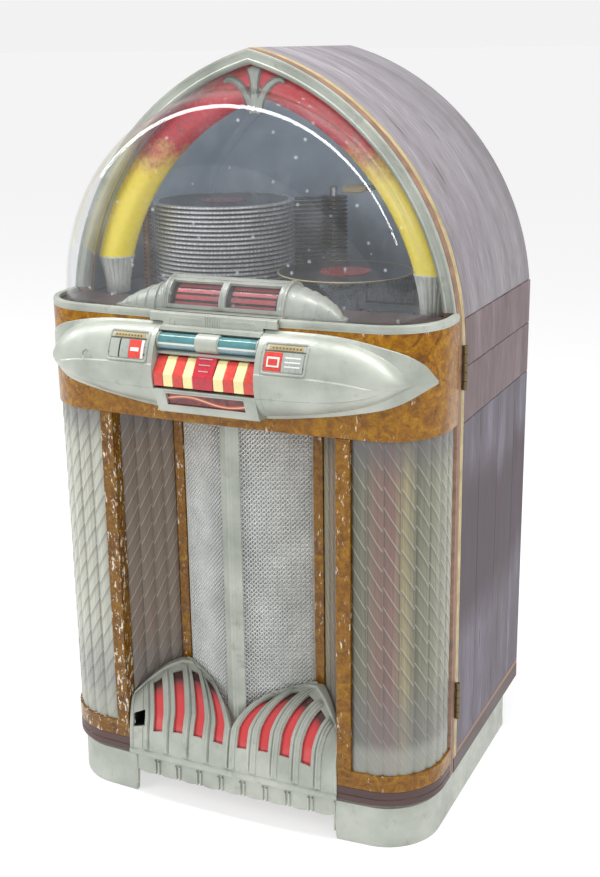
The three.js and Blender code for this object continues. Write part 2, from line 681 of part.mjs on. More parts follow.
function shellCasting() {
  const us = span(-0.999, 0.999, 22);
  const vs = span(0, 1, 6);
  const front = vs.map((v) => us.map((u) => shellPoint(u, v)));
  const back = vs.map((v) => us.map((u) => shellInside(u, Math.min(v, 0.98), SHELL_WALL)));
  back[0].forEach((p) => { p.z = SHELL_BOTTOM; });
  const slots = [];
  for (let flute = 0; flute < FLUTES - 1; flute += 1) {
    const u = (flute + 0.58) / FLUTES;
    slots.push(slotCutter(u), slotCutter(-u));
  }
  const coinReturn = box(-203, -177, -200, -100, 152, 182);
  return cut(wall(front, back), ...slots, coinReturn);
}

function shellLens() {
  const us = span(-0.76, 0.76, 14);
  const vs = span(0.2, 0.86, 4);
  const grid = (depth) => vs.map((v) => us.map((u) => shellInside(u, v, depth)));
  return wall(grid(SHELL_WALL + 2), grid(SHELL_WALL + 4.5));
}

// ---- selector ----------------------------------------------------------------------------
const SELECTOR_TIP_DEG = 67;
const SELECTOR_TIP_X = CORNER_X + CORNER_RADIUS * Math.sin(THREE.MathUtils.degToRad(SELECTOR_TIP_DEG));
const SELECTOR_BACK_GAP = 1.2;
const SELECTOR_TOP = new THREE.CatmullRomCurve3([
  v3(0, 965, 0), v3(190, 965, 0), v3(262, 958, 0), v3(331, 940, 0), v3(366, 915, 0), v3(SELECTOR_TIP_X, 885, 0),
]);
const SELECTOR_FOOT = new THREE.CatmullRomCurve3([
  v3(0, 810, 0), v3(100, 810, 0), v3(189, 820, 0), v3(261, 832, 0), v3(330, 850, 0), v3(SELECTOR_TIP_X, 879, 0),
]);

function heightAt(curve, x) {
  const samples = curve.getPoints(80);
  const next = samples.findIndex((p) => p.x >= x);
  if (next <= 0) return next === 0 ? samples[0].y : samples[samples.length - 1].y;
  const [a, b] = [samples[next - 1], samples[next]];
  return THREE.MathUtils.mapLinear(x, a.x, b.x, a.y, b.y);
}

// How far the casting stands out from the waistband at x.
function selectorReach(x) {
  const full = bowY(0) - SELECTOR_BACK_GAP - SELECTOR_NOSE_Y;
  const t = Math.min(1, Math.max(0, (Math.abs(x) - 170) / (SELECTOR_TIP_X - 170)));
  const bowBack = (bowY(x) - bowY(0)) * (1 - t);
  return 3 + (full - 3) * Math.sqrt(1 - t ** 2.6) + bowBack;
}

function selectorSection(x) {
  const across = Math.abs(x);
  const back = bowY(across) - SELECTOR_BACK_GAP;
  const top = heightAt(SELECTOR_TOP, across);
  const foot = heightAt(SELECTOR_FOOT, across);
  const ridge = THREE.MathUtils.lerp(SELECTOR_RIDGE_Z, 882, across / SELECTOR_TIP_X);
  const reach = selectorReach(x);
  const flange = Math.min(4, reach / 3);
  const quarter = (zEnd, power) => span(0, 90, 4).map((deg) => {
    const a = THREE.MathUtils.degToRad(deg);
    return [
      back - flange - (reach - flange) * Math.sin(a) ** (2 / power),
      ridge + (zEnd - ridge) * Math.cos(a) ** (2 / power),
    ];
  });
  const up = quarter(top - flange / 2, 1.7);
  const down = quarter(foot + flange / 2, 2).reverse().slice(1);
  return [[back, top], [back - flange, top], ...up, ...down, [back - flange, foot], [back, foot]]
    .map(([y, z]) => v3(x, y, z));
}

const BUTTON_X = -236;
const BUTTON_Z = 905;
const POCKET_FLOOR = -183;

function selectorCasting() {
  const cornerStations = span(0, SELECTOR_TIP_DEG, 7)
    .map((deg) => CORNER_X + CORNER_RADIUS * Math.sin(THREE.MathUtils.degToRad(deg)));
  const right = [60, 120, 180, 230, ...cornerStations];
  const stations = [...right.map((x) => -x).reverse(), 0, ...right];
  const body = loft(stations.map(selectorSection));
  const keyPocket = box(-KEY_POCKET_X, KEY_POCKET_X, -250, POCKET_FLOOR, 857, 975);
  const windowPocket = box(-76.5, 76.5, -250, -206, 826, 851);
  const buttonBore = stub(8, BUTTON_X, -240, -196, BUTTON_Z, 18);
  return cut(body, keyPocket, windowPocket, buttonBore);
}

// A selection key has three facets: sloping top, short front and a flat underside.
const KEY_PROFILE = [[-191, 912], [-205, 911], [-228, 884], [-226, 862], [-191, 861]];
function selectionKey(index) {
  const side = index < 4 ? -1 : 1;
  const rank = index < 4 ? 4 - index : index - 3;
  const x = side * (BAR_WIDTH / 2 + rank * KEY_PITCH - KEY_WIDTH / 2);
  return crosswise(KEY_PROFILE, x - KEY_WIDTH / 2, x + KEY_WIDTH / 2);
}
const programBar = () => crosswise(
  [[-191, 922], [-206, 921], [-229, 884], [-227, 862], [-191, 861]],
  -BAR_WIDTH / 2,
  BAR_WIDTH / 2,
);
const coinReturnButton = () => stub(7.4, BUTTON_X, -221, -202, BUTTON_Z, 18);

// ---- title barrel ------------------------------------------------------------------------
function titleHousing() {
  const floor = DOME_FOOT + GAP;
  const shellRadius = 51;
  const innerRadius = 45;
  const arc = (radius, from, to) => span(from, to, 12).map((deg) => {
    const a = THREE.MathUtils.degToRad(deg);
    return [DRUM_Y + radius * Math.cos(a), DRUM_Z + radius * Math.sin(a)];
  });
  const barrel = crosswise([...arc(shellRadius, 0, 180), ...arc(innerRadius, 180, 0)], -118, 118);
  const cheek = (x0, x1) => crosswise([...arc(shellRadius, -8, 188)], x0, x1);
  const windowCut = (x0, x1) => crosswise([...arc(shellRadius + 4, 118, 172), ...arc(innerRadius - 4, 172, 118)], x0, x1);
  const foot = box(-123, 123, -182, DRUM_Y - 46, floor, SILL_TOP);
  const rearFoot = box(-118, 118, DRUM_Y + 45, DRUM_Y + 52, floor, DRUM_Z + 1);
  const apron = box(-123, 123, -186, -178.7, WAIST_TOP - 2, SILL_TOP);
  const lowApron = box(-97, 97, -186, -183.6, 948, WAIST_TOP);
  const wing = (side) => loft(span(0, 1, 6).map((t) => {
    const k = Math.sqrt(1 - t * t * 0.985);
    const middle = DRUM_Y - 24 * t;
    return span(0, 180, 10).map((deg) => {
      const a = THREE.MathUtils.degToRad(deg);
      return v3(side * (112 + 112 * t), middle + 50 * k * Math.cos(a), floor + 58 * k * Math.sin(a));
    });
  }));
  const whole = join(barrel, cheek(-118, -110), cheek(110, 118), foot, rearFoot, apron, lowApron, wing(1), wing(-1));
  return cut(whole, windowCut(-106, -6), windowCut(6, 106));
}

const titleDrum = () => join(
  rod(DRUM_RADIUS, -104, 104, DRUM_Y, DRUM_Z, 24),
  rod(5, -108, 108, DRUM_Y, DRUM_Z, 12),
);

// ---- door fittings -----------------------------------------------------------------------
const CYLINDER = [302, -78];
const colourCylinder = (side) => join(
  disc(44, side * CYLINDER[0], CYLINDER[1], 176, 768, 24),
  disc(6, side * CYLINDER[0], CYLINDER[1], 160, 782, 12),
);

const coinMechanism = () => join(
  box(-236, -166, -60, -26, 560, 740),
  box(-212, -184, -56, -30, 300, 561),
  box(-236, -166, -60, -26, 120, 301),
  box(-204, -179, -150, -59, 140, 148),
);

// A quarter-turn lock on the free edge of the door.
const LOCK_Y = (FRAME_FRONT + DOOR_BACK) / 2;
const LOCK_Z = 878;
const doorLock = () => join(
  rod(8, -(HINGE_X + HINGE_RADIUS - 2), -(HALF_WIDTH + GAP), LOCK_Y, LOCK_Z, 20),
  box(-(HINGE_X + HINGE_RADIUS), -(HALF_WIDTH + 3), LOCK_Y - 2, LOCK_Y + 2, LOCK_Z - 6, LOCK_Z + 6),
);

const HINGE_HEIGHTS = [[845, 925], [207, 281]];
const KNUCKLES = 5;

// Even knuckles and the pin belong to the cabinet leaf, odd ones to the door leaf.
function hingeLeaf([z0, z1], onDoor) {
  const height = (z1 - z0) / KNUCKLES;
  const leafY = onDoor ? [-2.7, -1.7] : [-1.3, -0.3];
  const parts = [];
  for (let k = onDoor ? 1 : 0; k < KNUCKLES; k += 2) {
    const low = z0 + k * height + 0.4;
    const high = z0 + (k + 1) * height - 0.4;
    parts.push(disc(HINGE_RADIUS, HINGE_X, 0, low, high, 16));
    parts.push(box(HALF_WIDTH - 1, HINGE_X - 2.6, ...leafY, low, high));
  }
  parts.push(box(HALF_WIDTH - 26, HALF_WIDTH, ...leafY, z0 + 0.4, z1 - 0.4));
  if (onDoor) return cut(join(...parts), disc(2.4, HINGE_X, 0, z0, z1, 12));
  return join(...parts, disc(2, HINGE_X, 0, z0 + 1, z1 - 1, 12));
}

// ---- assembly ----------------------------------------------------------------------------
const jukebox = new THREE.Group();
const standing = new THREE.Group();
standing.position.y = SEAM_Y;
jukebox.add(standing);

function place(name, geometry, material) {
  const mesh = new THREE.Mesh(geometry, material);
  mesh.name = name;
  standing.add(mesh);
}
const pair = (name, make, material) => {
  place(`${name}_left`, make(-1), material);
  place(`${name}_right`, make(1), material);
};

place('base_casting', baseCasting(), casting);
place('cabinet_floor', cabinetFloor(), darkWood);
pair('side_panel', sidePanel, sideWood);
place('arch_top', archTop(), sideWood);
place('seam_trim', seamTrim(), cream);
place('rear_cover_lower', rearCoverLower(), darkWood);
place('rear_cover_upper', rearCoverUpper(), darkWood);
place('speaker_baffle', speakerBaffle(), darkWood);
place('speaker', speaker(), blackMetal);
place('amplifier_chassis', amplifierChassis(), steel);
place('mechanism_shelf', mechanismShelf(), darkWood);
place('mechanism_plate', mechanismPlate(), blackMetal);
place('record_magazine', recordMagazine(), steel);
place('record_tray', recordTray(), steel);
place('turntable_lift', turntableLift(), steel);
place('turntable_platter', turntablePlatter(), vinyl);
place('tonearm', tonearm(), cream);
place('arch_tube', archTube(), yellowPlastic);
pair('tube_cup', tubeCup, casting);
place('arch_ornament', archOrnament(), casting);

place('door_back_frame', doorBackFrame(), darkWood);
place('waistband', waistband(), burl);
place('dome_frame', domeFrame(), casting);
place('dome_sill', domeSill(), casting);
place('dome', dome(), clear);
pair('burl_frame', burlFrame, burl);
pair('inner_stile', innerStile, burl);
pair('pilaster_outer', pilasterOuter, ribbed);
pair('pilaster_inner', pilasterInner, ribbed);
place('speaker_grille', speakerGrille(), wire);
place('centre_rib', centreRib(), casting);
place('shell_casting', shellCasting(), casting);
place('shell_lens', shellLens(), redPlastic);
place('selector_casting', selectorCasting(), casting);
for (let index = 0; index < 8; index += 1) {
  const isRed = index < 4 ? index % 2 === 0 : index % 2 === 1;
  place(`selection_key_${index + 1}`, selectionKey(index), isRed ? redPlastic : cream);
}
place('program_bar', programBar(), crimson);
place('coin_return_button', coinReturnButton(), steel);
place('title_housing', titleHousing(), casting);
place('title_drum', titleDrum(), redPlastic);
pair('colour_cylinder', colourCylinder, yellowPlastic);
place('coin_mechanism', coinMechanism(), steel);
place('door_lock', doorLock(), brass);
HINGE_HEIGHTS.forEach((heights, i) => {
  const where = i === 0 ? 'upper' : 'lower';
  place(`hinge_leaf_cabinet_${where}`, hingeLeaf(heights, false), brass);
  place(`hinge_leaf_door_${where}`, hingeLeaf(heights, true), brass);
});

export default jukebox;
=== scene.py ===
"""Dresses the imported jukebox: castings, veneer, lit plastics, dome and record changer."""
import math

import bmesh
import bpy
from mathutils import Matrix, Vector, geometry


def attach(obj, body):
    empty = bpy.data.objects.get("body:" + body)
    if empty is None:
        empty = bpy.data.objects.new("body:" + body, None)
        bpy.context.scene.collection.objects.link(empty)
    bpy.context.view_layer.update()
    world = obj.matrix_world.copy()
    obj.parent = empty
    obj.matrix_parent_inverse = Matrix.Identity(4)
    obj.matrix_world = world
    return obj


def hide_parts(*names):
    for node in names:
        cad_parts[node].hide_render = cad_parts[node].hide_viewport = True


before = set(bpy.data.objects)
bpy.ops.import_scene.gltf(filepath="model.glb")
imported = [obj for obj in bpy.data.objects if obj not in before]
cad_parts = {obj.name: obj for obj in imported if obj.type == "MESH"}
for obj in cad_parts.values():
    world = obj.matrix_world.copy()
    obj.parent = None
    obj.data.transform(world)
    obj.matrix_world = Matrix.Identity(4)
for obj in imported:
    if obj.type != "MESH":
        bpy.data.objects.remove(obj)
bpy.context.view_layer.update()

# ---- driving dimensions, in millimetres from the door seam, as in the CAD part ---------------
MM = 0.001
SEAM_Y = -105
HALF_WIDTH = 390
CABINET_DEPTH = 442
ARCH_CENTRE_X = 130
ARCH_CENTRE_Z = 920
ARCH_RADIUS = HALF_WIDTH + ARCH_CENTRE_X
BASE_TOP = 90
FLOOR_TOP = 120
WAIST_BOTTOM = 786
WAIST_TOP = 970
SILL_TOP = 984
SIDE_TOP = 969
GAP = 0.3
BOW_DEPTH = 178
BOW_RISE = 8
CORNER_X = 275
CORNER_Y = -55
CORNER_RADIUS = HALF_WIDTH - CORNER_X
DOOR_BACK = -3
FRAME_FRONT = -20
DOOR_EDGE = FRAME_FRONT - GAP
SIDE_THICKNESS = 18
TOP_THICKNESS = 14
TRIM_DEPTH = 14.7
STILE = (222, 248)
INNER_STILE = (134.5, 153.5)
RECESS_SIDE_Y = -70
RECESS_MID_Y = -134
RECESS_OUTER_Y = -150
SHELL_BOTTOM = BASE_TOP + 1
RAIL_BOTTOM = 120
RAIL_TOP = 152
POCKET_X = 98.5
POCKET_Y = -183
NOSE_Y = -232
RIDGE_Z = 887
TIP_X = 380.8
DRUM_Y = -100
DRUM_Z = 985
DRUM_RADIUS = 40
STACK = (-168, 190)
TURNTABLE = (125, 110)
TRAY_POST = (21, 304)
TRAY_PITCH = 8.4
TRAY_COUNT = 24
STACK_BOTTOM = 938
STACK_TOP = STACK_BOTTOM + (TRAY_COUNT - 1) * TRAY_PITCH
TONEARM_POST = (240, 228)
TRAY_RADIUS = 140
RECORD_RADIUS = 127
FRAME_REACH = 27
DOME_INSET = FRAME_REACH + 0.6
DOME_FOOT = 976.3
DOME_NOTCH_TOP = SILL_TOP + 2 * GAP
TUBE_INSET = 51
TUBE_Y = 34
TUBE_RADIUS = 33
CUP_TOP = 1041
CUP_BOTTOM = 968

SIDES = (("left", -1), ("right", 1))


def steps(low, high, count):
    """count + 1 evenly spaced numbers from low to high."""
    return [low + (high - low) * i / count for i in range(count + 1)]


def full_turn(count):
    """Angles of evenly spaced points round a circle."""
    return [2 * math.pi * i / count for i in range(count)]


def arc(a, b, r, degrees):
    """Points at some angles on a circle of radius r round (a, b)."""
    return [(a + r * math.cos(math.radians(d)), b + r * math.sin(math.radians(d))) for d in degrees]


def circle(a, b, radius, sides=32):
    return [(a + radius * math.cos(t), b + radius * math.sin(t)) for t in full_turn(sides)]


def lerp(a, b, t):
    return a + (b - a) * t


def clamp(value, low=0.0, high=1.0):
    return min(high, max(low, value))


def smooth(t):
    t = clamp(t)
    return t * t * (3 - 2 * t)


def curve_through(stops, x):
    """Value at x on a smooth curve through (x, value) stops."""
    xs = [s[0] for s in stops]
    vs = [s[1] for s in stops]
    if x <= xs[0]:
        return vs[0]
    if x >= xs[-1]:
        return vs[-1]
    i = next(k for k in range(len(xs) - 1) if x <= xs[k + 1])
    width = xs[i + 1] - xs[i]
    t = (x - xs[i]) / width

    def slope(k):
        if k == 0:
            return (vs[1] - vs[0]) / (xs[1] - xs[0])
        if k == len(xs) - 1:
            return (vs[-1] - vs[-2]) / (xs[-1] - xs[-2])
        return (vs[k + 1] - vs[k - 1]) / (xs[k + 1] - xs[k - 1])

    a, b = slope(i) * width, slope(i + 1) * width
    return (
        vs[i] * (1 + 2 * t) * (1 - t) ** 2
        + a * t * (1 - t) ** 2
        + vs[i + 1] * t * t * (3 - 2 * t)
        - b * t * t * (1 - t)
    )


# ---- solids: (points, faces), in millimetres ------------------------------------------------
def loft(rings):
    """Skins equal rings of points, with a cap on the first and the last."""
    count = len(rings[0])
    points = [p for ring in rings for p in ring]
    faces = []
    for r in range(len(rings) - 1):
        for i in range(count):
            a = r * count + i
            b = r * count + (i + 1) % count
            faces.append([a, b, b + count, a + count])
    faces.append(list(range(count))[::-1])
    faces.append([len(points) - count + i for i in range(count)])
    return points, faces


def ring_loft(rings):
    """A loft whose last ring joins its first, such as a closed hoop."""
    count = len(rings[0])
    points = [p for ring in rings for p in ring]
    total = len(rings)
    faces = []
    for r in range(total):
        for i in range(count):
            a, b = r * count + i, r * count + (i + 1) % count
            c, d = ((r + 1) % total) * count + (i + 1) % count, ((r + 1) % total) * count + i
            faces.append([a, b, c, d])
    return points, faces


def wall(front, back, keep=None):
    """A closed wall between two equal grids; keep(row, column) says which cells are there."""
    rows, cols = len(front), len(front[0])
    shift = rows * cols
    points = [p for row in front for p in row] + [p for row in back for p in row]

    def there(r, c):
        if not (0 <= r < rows - 1 and 0 <= c < cols - 1):
            return False
        return keep is None or keep(r, c)

    faces = []
    for r in range(rows - 1):
        for c in range(cols - 1):
            if not there(r, c):
                continue
            a, b = r * cols + c, r * cols + c + 1
            d, e = a + cols, b + cols
            faces.append([a, b, e, d])
            faces.append([shift + a, shift + d, shift + e, shift + b])
            for beside, p, q in ((there(r - 1, c), a, b), (there(r, c + 1), b, e),
                                 (there(r + 1, c), e, d), (there(r, c - 1), d, a)):
                if not beside:
                    faces.append([p, shift + p, shift + q, q])
    used = sorted({i for face in faces for i in face})
    place = {old: new for new, old in enumerate(used)}
    return [points[i] for i in used], [[place[i] for i in face] for face in faces]


def prism(outline, low, high, axis="z", holes=()):
    """Extrudes a flat outline along an axis. The outline is (x, y), (x, z) or (y, z)."""
    def spot(p, h):
        if axis == "z":
            return p[0], p[1], h
        if axis == "y":
            return p[0], h, p[1]
        return h, p[0], p[1]

    loops = [list(outline)] + [list(h) for h in holes]
    count = sum(len(loop) for loop in loops)
    points = [spot(p, low) for loop in loops for p in loop]
    points += [spot(p, high) for loop in loops for p in loop]
    faces = []
    start = 0
    for loop in loops:
        for i in range(len(loop)):
            a, b = start + i, start + (i + 1) % len(loop)
            faces.append([a, b, b + count, a + count])
        start += len(loop)
    if holes:
        caps = geometry.tessellate_polygon([[Vector((p[0], p[1], 0)) for p in loop] for loop in loops])
        caps = [list(f) for f in caps]
    else:
        caps = [list(range(count))]
    faces += [f[::-1] for f in caps]
    faces += [[i + count for i in f] for f in caps]
    return points, faces


def box(x0, x1, y0, y1, z0, z1):
    return prism([(x0, y0), (x1, y0), (x1, y1), (x0, y1)], z0, z1)


def revolve(profile, centre, axis="z", sides=48, wave=None):
    """Turns an (r, height) profile round an axis; wave(angle, height) scales the radius."""
    rings = []
    for a in full_turn(sides):
        ring = []
        for r, h in profile:
            k = r * (wave(a, h) if wave else 1)
            c, s = k * math.cos(a), k * math.sin(a)
            offset = {"z": (c, s, h), "y": (c, h, s), "x": (h, c, s)}[axis]
            ring.append(tuple(centre[n] + offset[n] for n in range(3)))
        rings.append(ring)
    count = len(profile)
    points = [p for ring in rings for p in ring]
    faces = []
    for r in range(sides):
        for i in range(count - 1):
            a, b = r * count + i, r * count + i + 1
            c, d = ((r + 1) % sides) * count + i + 1, ((r + 1) % sides) * count + i
            faces.append([a, b, c, d])
    return points, faces


def hoop(profile, x, y, sides=72):
    """Turns a closed (r, z) profile that stays clear of the axis."""
    return ring_loft([
        [(x + r * math.cos(a), y + r * math.sin(a), z) for r, z in profile]
        for a in full_turn(sides)
    ])


def disc(radius, x, y, z0, z1, sides=48, edge=0.6):
    return revolve([(0, z0), (radius - edge, z0), (radius, z0 + edge), (radius, z1 - edge),
                    (radius - edge, z1), (0, z1)],
                   (x, y, 0), sides=sides)


def pipe(path, radius, sides=10, closed=False, up=(0, 0, 1)):
    """A tube along a path of points; radius may be a number or one number per point."""
    path = [Vector(p) for p in path]
    count = len(path)
    radii = radius if isinstance(radius, (list, tuple)) else [radius] * count
    rings = []
    for i, p in enumerate(path):
        ahead = path[(i + 1) % count] if closed or i < count - 1 else path[i]
        behind = path[i - 1] if closed or i > 0 else path[i]
        direction = (ahead - behind).normalized()
        side = direction.cross(Vector(up))
        if side.length < 1e-3:
            side = direction.cross(Vector((0, 1, 0)))
        side.normalize()
        rise = side.cross(direction)
        rings.append([
            tuple(p + side * radii[i] * math.cos(a) + rise * radii[i] * math.sin(a))
            for a in full_turn(sides)
        ])
    return ring_loft(rings) if closed else loft(rings)


def rounded(a0, a1, b0, b1, r, corner=3):
    """A rectangle with rounded corners, as (a, b) points."""
    out = []
    for ca, cb, start in ((a1 - r, b1 - r, 0), (a0 + r, b1 - r, 90), (a0 + r, b0 + r, 180),
                          (a1 - r, b0 + r, 270)):
        out += arc(ca, cb, r, [start + 90 * k / corner for k in range(corner + 1)])
    return out


def moved(solid, move):
    points, faces = solid[:2]
    return [tuple(move(Vector(p))) for p in points], faces


def shifted(solid, x, y, z):
    return moved(solid, lambda p: (p.x + x, p.y + y, p.z + z))


def mirrored(solid):
    points, faces = solid[:2]
    grain = [(g[0] + 3.1, g[1], g[2]) for g in solid[2]] if len(solid) > 2 else None
    flipped = ([(-x, y, z) for x, y, z in points], [f[::-1] for f in faces])
    return flipped + (grain,) if grain else flipped


def sided(solid, side):
    return solid if side > 0 else mirrored(solid)


def grained(solid, rule):
    """Adds coordinates for the pattern of a finish: rule(point) gives (across, along, depth)."""
    points, faces = solid[:2]
    return points, faces, [rule(p) for p in points]


def make(name, parts, body, replaces=(), bevel=0.0, crease=35, segments=2):
    """Makes one object from (solid, finish) parts, in millimetres from the door seam, riding on a body."""
    points, faces, marks, grain, finishes = [], [], [], [], []
    for solid, finish in parts:
        if finish not in finishes:
            finishes.append(finish)
        start = len(points)
        points += [(x * MM, (y + SEAM_Y) * MM, z * MM) for x, y, z in solid[0]]
        grain += solid[2] if len(solid) > 2 else points[start:]
        faces += [[start + i for i in face] for face in solid[1]]
        marks += [finishes.index(finish)] * len(solid[1])
    mesh = bpy.data.meshes.new(name)
    mesh.from_pydata(points, [], faces)
    for finish in finishes:
        mesh.materials.append(finish)
    mesh.polygons.foreach_set("material_index", marks)
    flow = mesh.attributes.new("grain", "FLOAT_VECTOR", "POINT")
    flow.data.foreach_set("vector", [v for g in grain for v in g])
    cage = bmesh.new()
    cage.from_mesh(mesh)
    bmesh.ops.remove_doubles(cage, verts=cage.verts, dist=2e-6)
    bmesh.ops.dissolve_degenerate(cage, edges=cage.edges, dist=1e-6)
    bmesh.ops.recalc_face_normals(cage, faces=cage.faces)
    cage.to_mesh(mesh)
    cage.free()
    mesh.shade_smooth()
    mesh.set_sharp_from_angle(angle=math.radians(crease))
    obj = bpy.data.objects.new(name, mesh)
    bpy.context.scene.collection.objects.link(obj)
    if bevel:
        edge = obj.modifiers.new("edges", "BEVEL")
        edge.width = bevel * MM
        edge.segments = segments
        edge.limit_method = "ANGLE"
        edge.angle_limit = math.radians(crease)
        edge.harden_normals = False
    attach(obj, body)
    if replaces:
        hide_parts(*replaces)
    return obj


# ---- shared outlines ------------------------------------------------------------------------
def bow_y(x, inset=0.0):
    """Front face of the door in plan at x, moved inwards by inset."""
    across = abs(x)
    if across <= CORNER_X:
        return -(BOW_DEPTH - inset) + BOW_RISE * (across / CORNER_X) ** 2
    r = CORNER_RADIUS - inset
    return CORNER_Y - math.sqrt(max(0.0, r * r - (across - CORNER_X) ** 2))


def bow_half(inset, xs, ys, bends=28):
    """Right half of the plan outline: through the stations xs, round the corner and back through ys."""
    r = CORNER_RADIUS - inset
    line = [(x, bow_y(x, inset)) for x in xs]
    for deg in steps(0, 90, bends)[1:]:
        a = math.radians(deg)
        line.append((CORNER_X + r * math.sin(a), CORNER_Y - r * math.cos(a)))
    return line + [(HALF_WIDTH - inset, y) for y in ys]


def both_halves(half):
    return [(-x, y) for x, y in half[::-1]][:-1] + half


def bow_full(inset):
    return both_halves(bow_half(inset, steps(0, CORNER_X, 8), [DOOR_EDGE]))


def bow_sweep(section, x0=None):
    """Sweeps an (inset, z) section along the whole plan outline, or along its right half from x0."""
    paths = [bow_full(inset) if x0 is None else bow_half(inset, steps(x0, CORNER_X, 8), [DOOR_EDGE])
             for inset, _ in section]
    rings = [[(*paths[k][i], section[k][1]) for k in range(len(section))] for i in range(len(paths[0]))]
    return loft(rings)


def arch_point(t, inset, z_foot):
    r = ARCH_RADIUS - inset
    low = math.asin(max(0.0, z_foot - ARCH_CENTRE_Z) / r)
    a = low + t * (math.acos(ARCH_CENTRE_X / r) - low)
    return (0.0 if t == 1 else r * math.cos(a) - ARCH_CENTRE_X, ARCH_CENTRE_Z + r * math.sin(a))


def arch_full(inset, z_foot, count=40):
    foot = [(HALF_WIDTH - inset, z_foot)] if z_foot < ARCH_CENTRE_Z else []
    half = foot + [arch_point(t, inset, z_foot) for t in steps(0, 1, count)]
    return half + [(-x, z) for x, z in half[::-1]][1:]


def arch_sweep(section, z_foot, count=40):
    """Sweeps an (inset, y) section over the whole arch, with its length along the arch as grain."""
    paths = [arch_full(inset, z_foot, count) for inset, _ in section]
    rings = [[(paths[k][i][0], section[k][1], paths[k][i][1]) for k in range(len(section))]
             for i in range(len(paths[0]))]
    points, faces = loft(rings)
    length, grain = 0.0, []
    for i, ring in enumerate(rings):
        if i:
            length += (Vector(ring[0]) - Vector(rings[i - 1][0])).length
        grain += [(p[1] * MM, length * MM, section[k][0] * MM) for k, p in enumerate(ring)]
    return points, faces, grain


